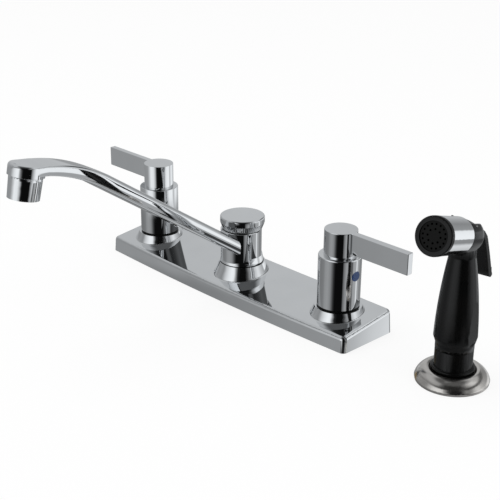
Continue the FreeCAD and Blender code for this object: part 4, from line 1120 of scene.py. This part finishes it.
    def surroundings(self) -> None:
        """Build the world: white behind, even light all round, panels for what is reflected."""
        world = bpy.data.worlds.new("studio")
        bpy.context.scene.world = world
        world.use_nodes = True
        tree = world.node_tree
        tree.nodes.clear()
        place = add_node(tree, "ShaderNodeTexCoord").outputs["Generated"]
        sine, cosine = math.sin(math.radians(self.facing)), math.cos(math.radians(self.facing))
        toward, aside, up = (
            add_node(tree, "ShaderNodeVectorMath", {0: place, 1: way}, operation="DOT_PRODUCT").outputs["Value"]
            for way in ((sine, -cosine, 0.0), (cosine, sine, 0.0), (0.0, 0.0, 1.0))
        )
        around = add_node(tree, "ShaderNodeMath", {0: aside, 1: toward}, operation="ARCTAN2").outputs[0]
        share = add_node(tree, "ShaderNodeMath", {0: around, 1: 1 / (2 * math.pi), 2: 0.5},
                         operation="MULTIPLY_ADD").outputs[0]
        seen, *higher = (self._ramp(tree, share, tones) for tones in self.bands)
        roof = (*(self.roof * part for part in self.cool), 1.0)
        for edge, above in zip(self.edges, (*higher, roof)):
            seen = self._blend(tree, up, edge, seen, above)
        plain = (1.0, 1.0, 1.0, 1.0)
        panels, even, white = (
            add_node(tree, "ShaderNodeBackground", {"Color": colour, "Strength": strength})
            for colour, strength in ((seen, 1.0), (plain, self.fill), (plain, 1.0))
        )
        rays = add_node(tree, "ShaderNodeLightPath").outputs
        glossy = self._mix(tree, rays["Is Glossy Ray"], even, panels)
        direct = self._mix(tree, rays["Is Camera Ray"], glossy, white)
        add_node(tree, "ShaderNodeOutputWorld", {"Surface": direct.outputs[0]})

    def deck(self) -> None:
        """Lay the white deck that the faucet stands on."""
        mesh = bpy.data.meshes.new("white_deck")
        corners = [(self.half * x, self.half * y, -self.drop) for x, y in ((-1, -1), (1, -1), (1, 1), (-1, 1))]
        mesh.from_pydata(corners, [], [(0, 1, 2, 3)])
        deck = add_object("white_deck", mesh)
        deck.visible_glossy = False
        material = bpy.data.materials.new("white_deck")
        material.use_nodes = True
        tree = material.node_tree
        tree.nodes.clear()
        matt = add_node(tree, "ShaderNodeBsdfDiffuse", {"Color": (self.white, self.white, self.white, 1.0)})
        glow = add_node(tree, "ShaderNodeEmission")
        rays = add_node(tree, "ShaderNodeLightPath").outputs["Is Camera Ray"]
        share = add_node(tree, "ShaderNodeMath", {0: rays, 1: self.glow}, operation="MULTIPLY").outputs[0]
        add_node(tree, "ShaderNodeOutputMaterial", {"Surface": self._mix(tree, share, matt, glow).outputs[0]})
        mesh.materials.append(material)

    def lamp(self, name: str, place: tuple[float, float, float], size: float, power: float) -> None:
        """Hang one large soft lamp that looks at the faucet.

        Args:
            name: the lamp's name
            place: where it hangs
            size: its width
            power: its power
        """
        data = bpy.data.lights.new(name, "AREA")
        data.shape = "DISK"
        data.size = size
        data.energy = power
        lamp = add_object(name, data)
        lamp.location = place
        lamp.rotation_euler = (Vector(self.aim) - Vector(place)).to_track_quat("-Z", "Y").to_euler()
        lamp.visible_glossy = False

    def build(self) -> None:
        """Build the world, the deck and the lamps."""
        self.surroundings()
        self.deck()
        self.lamp("soft_top", (-0.5, -0.6, 1.6), 1.2, 7.0)
        self.lamp("soft_side", (1.3, 0.2, 0.9), 0.8, 3.0)


def main() -> None:
    """Build and dress every sub-assembly, then the studio and the camera."""
    logging.basicConfig(level=logging.INFO, format="%(name)s %(message)s")
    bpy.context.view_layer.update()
    bpy.context.scene.view_settings.view_transform = "Standard"
    deck = DeckSet()
    deck.dress()
    deck.build()
    SpoutSet().build()
    HandleSet("hot", HOT_RED, -HANDLE_SPACING / 2, 180.0).build()
    HandleSet("cold", COLD_BLUE, HANDLE_SPACING / 2, 0.0).build()
    SprayerSet().build()
    Studio().build()
    Camera().build()


if __name__ == "__main__":
    main()
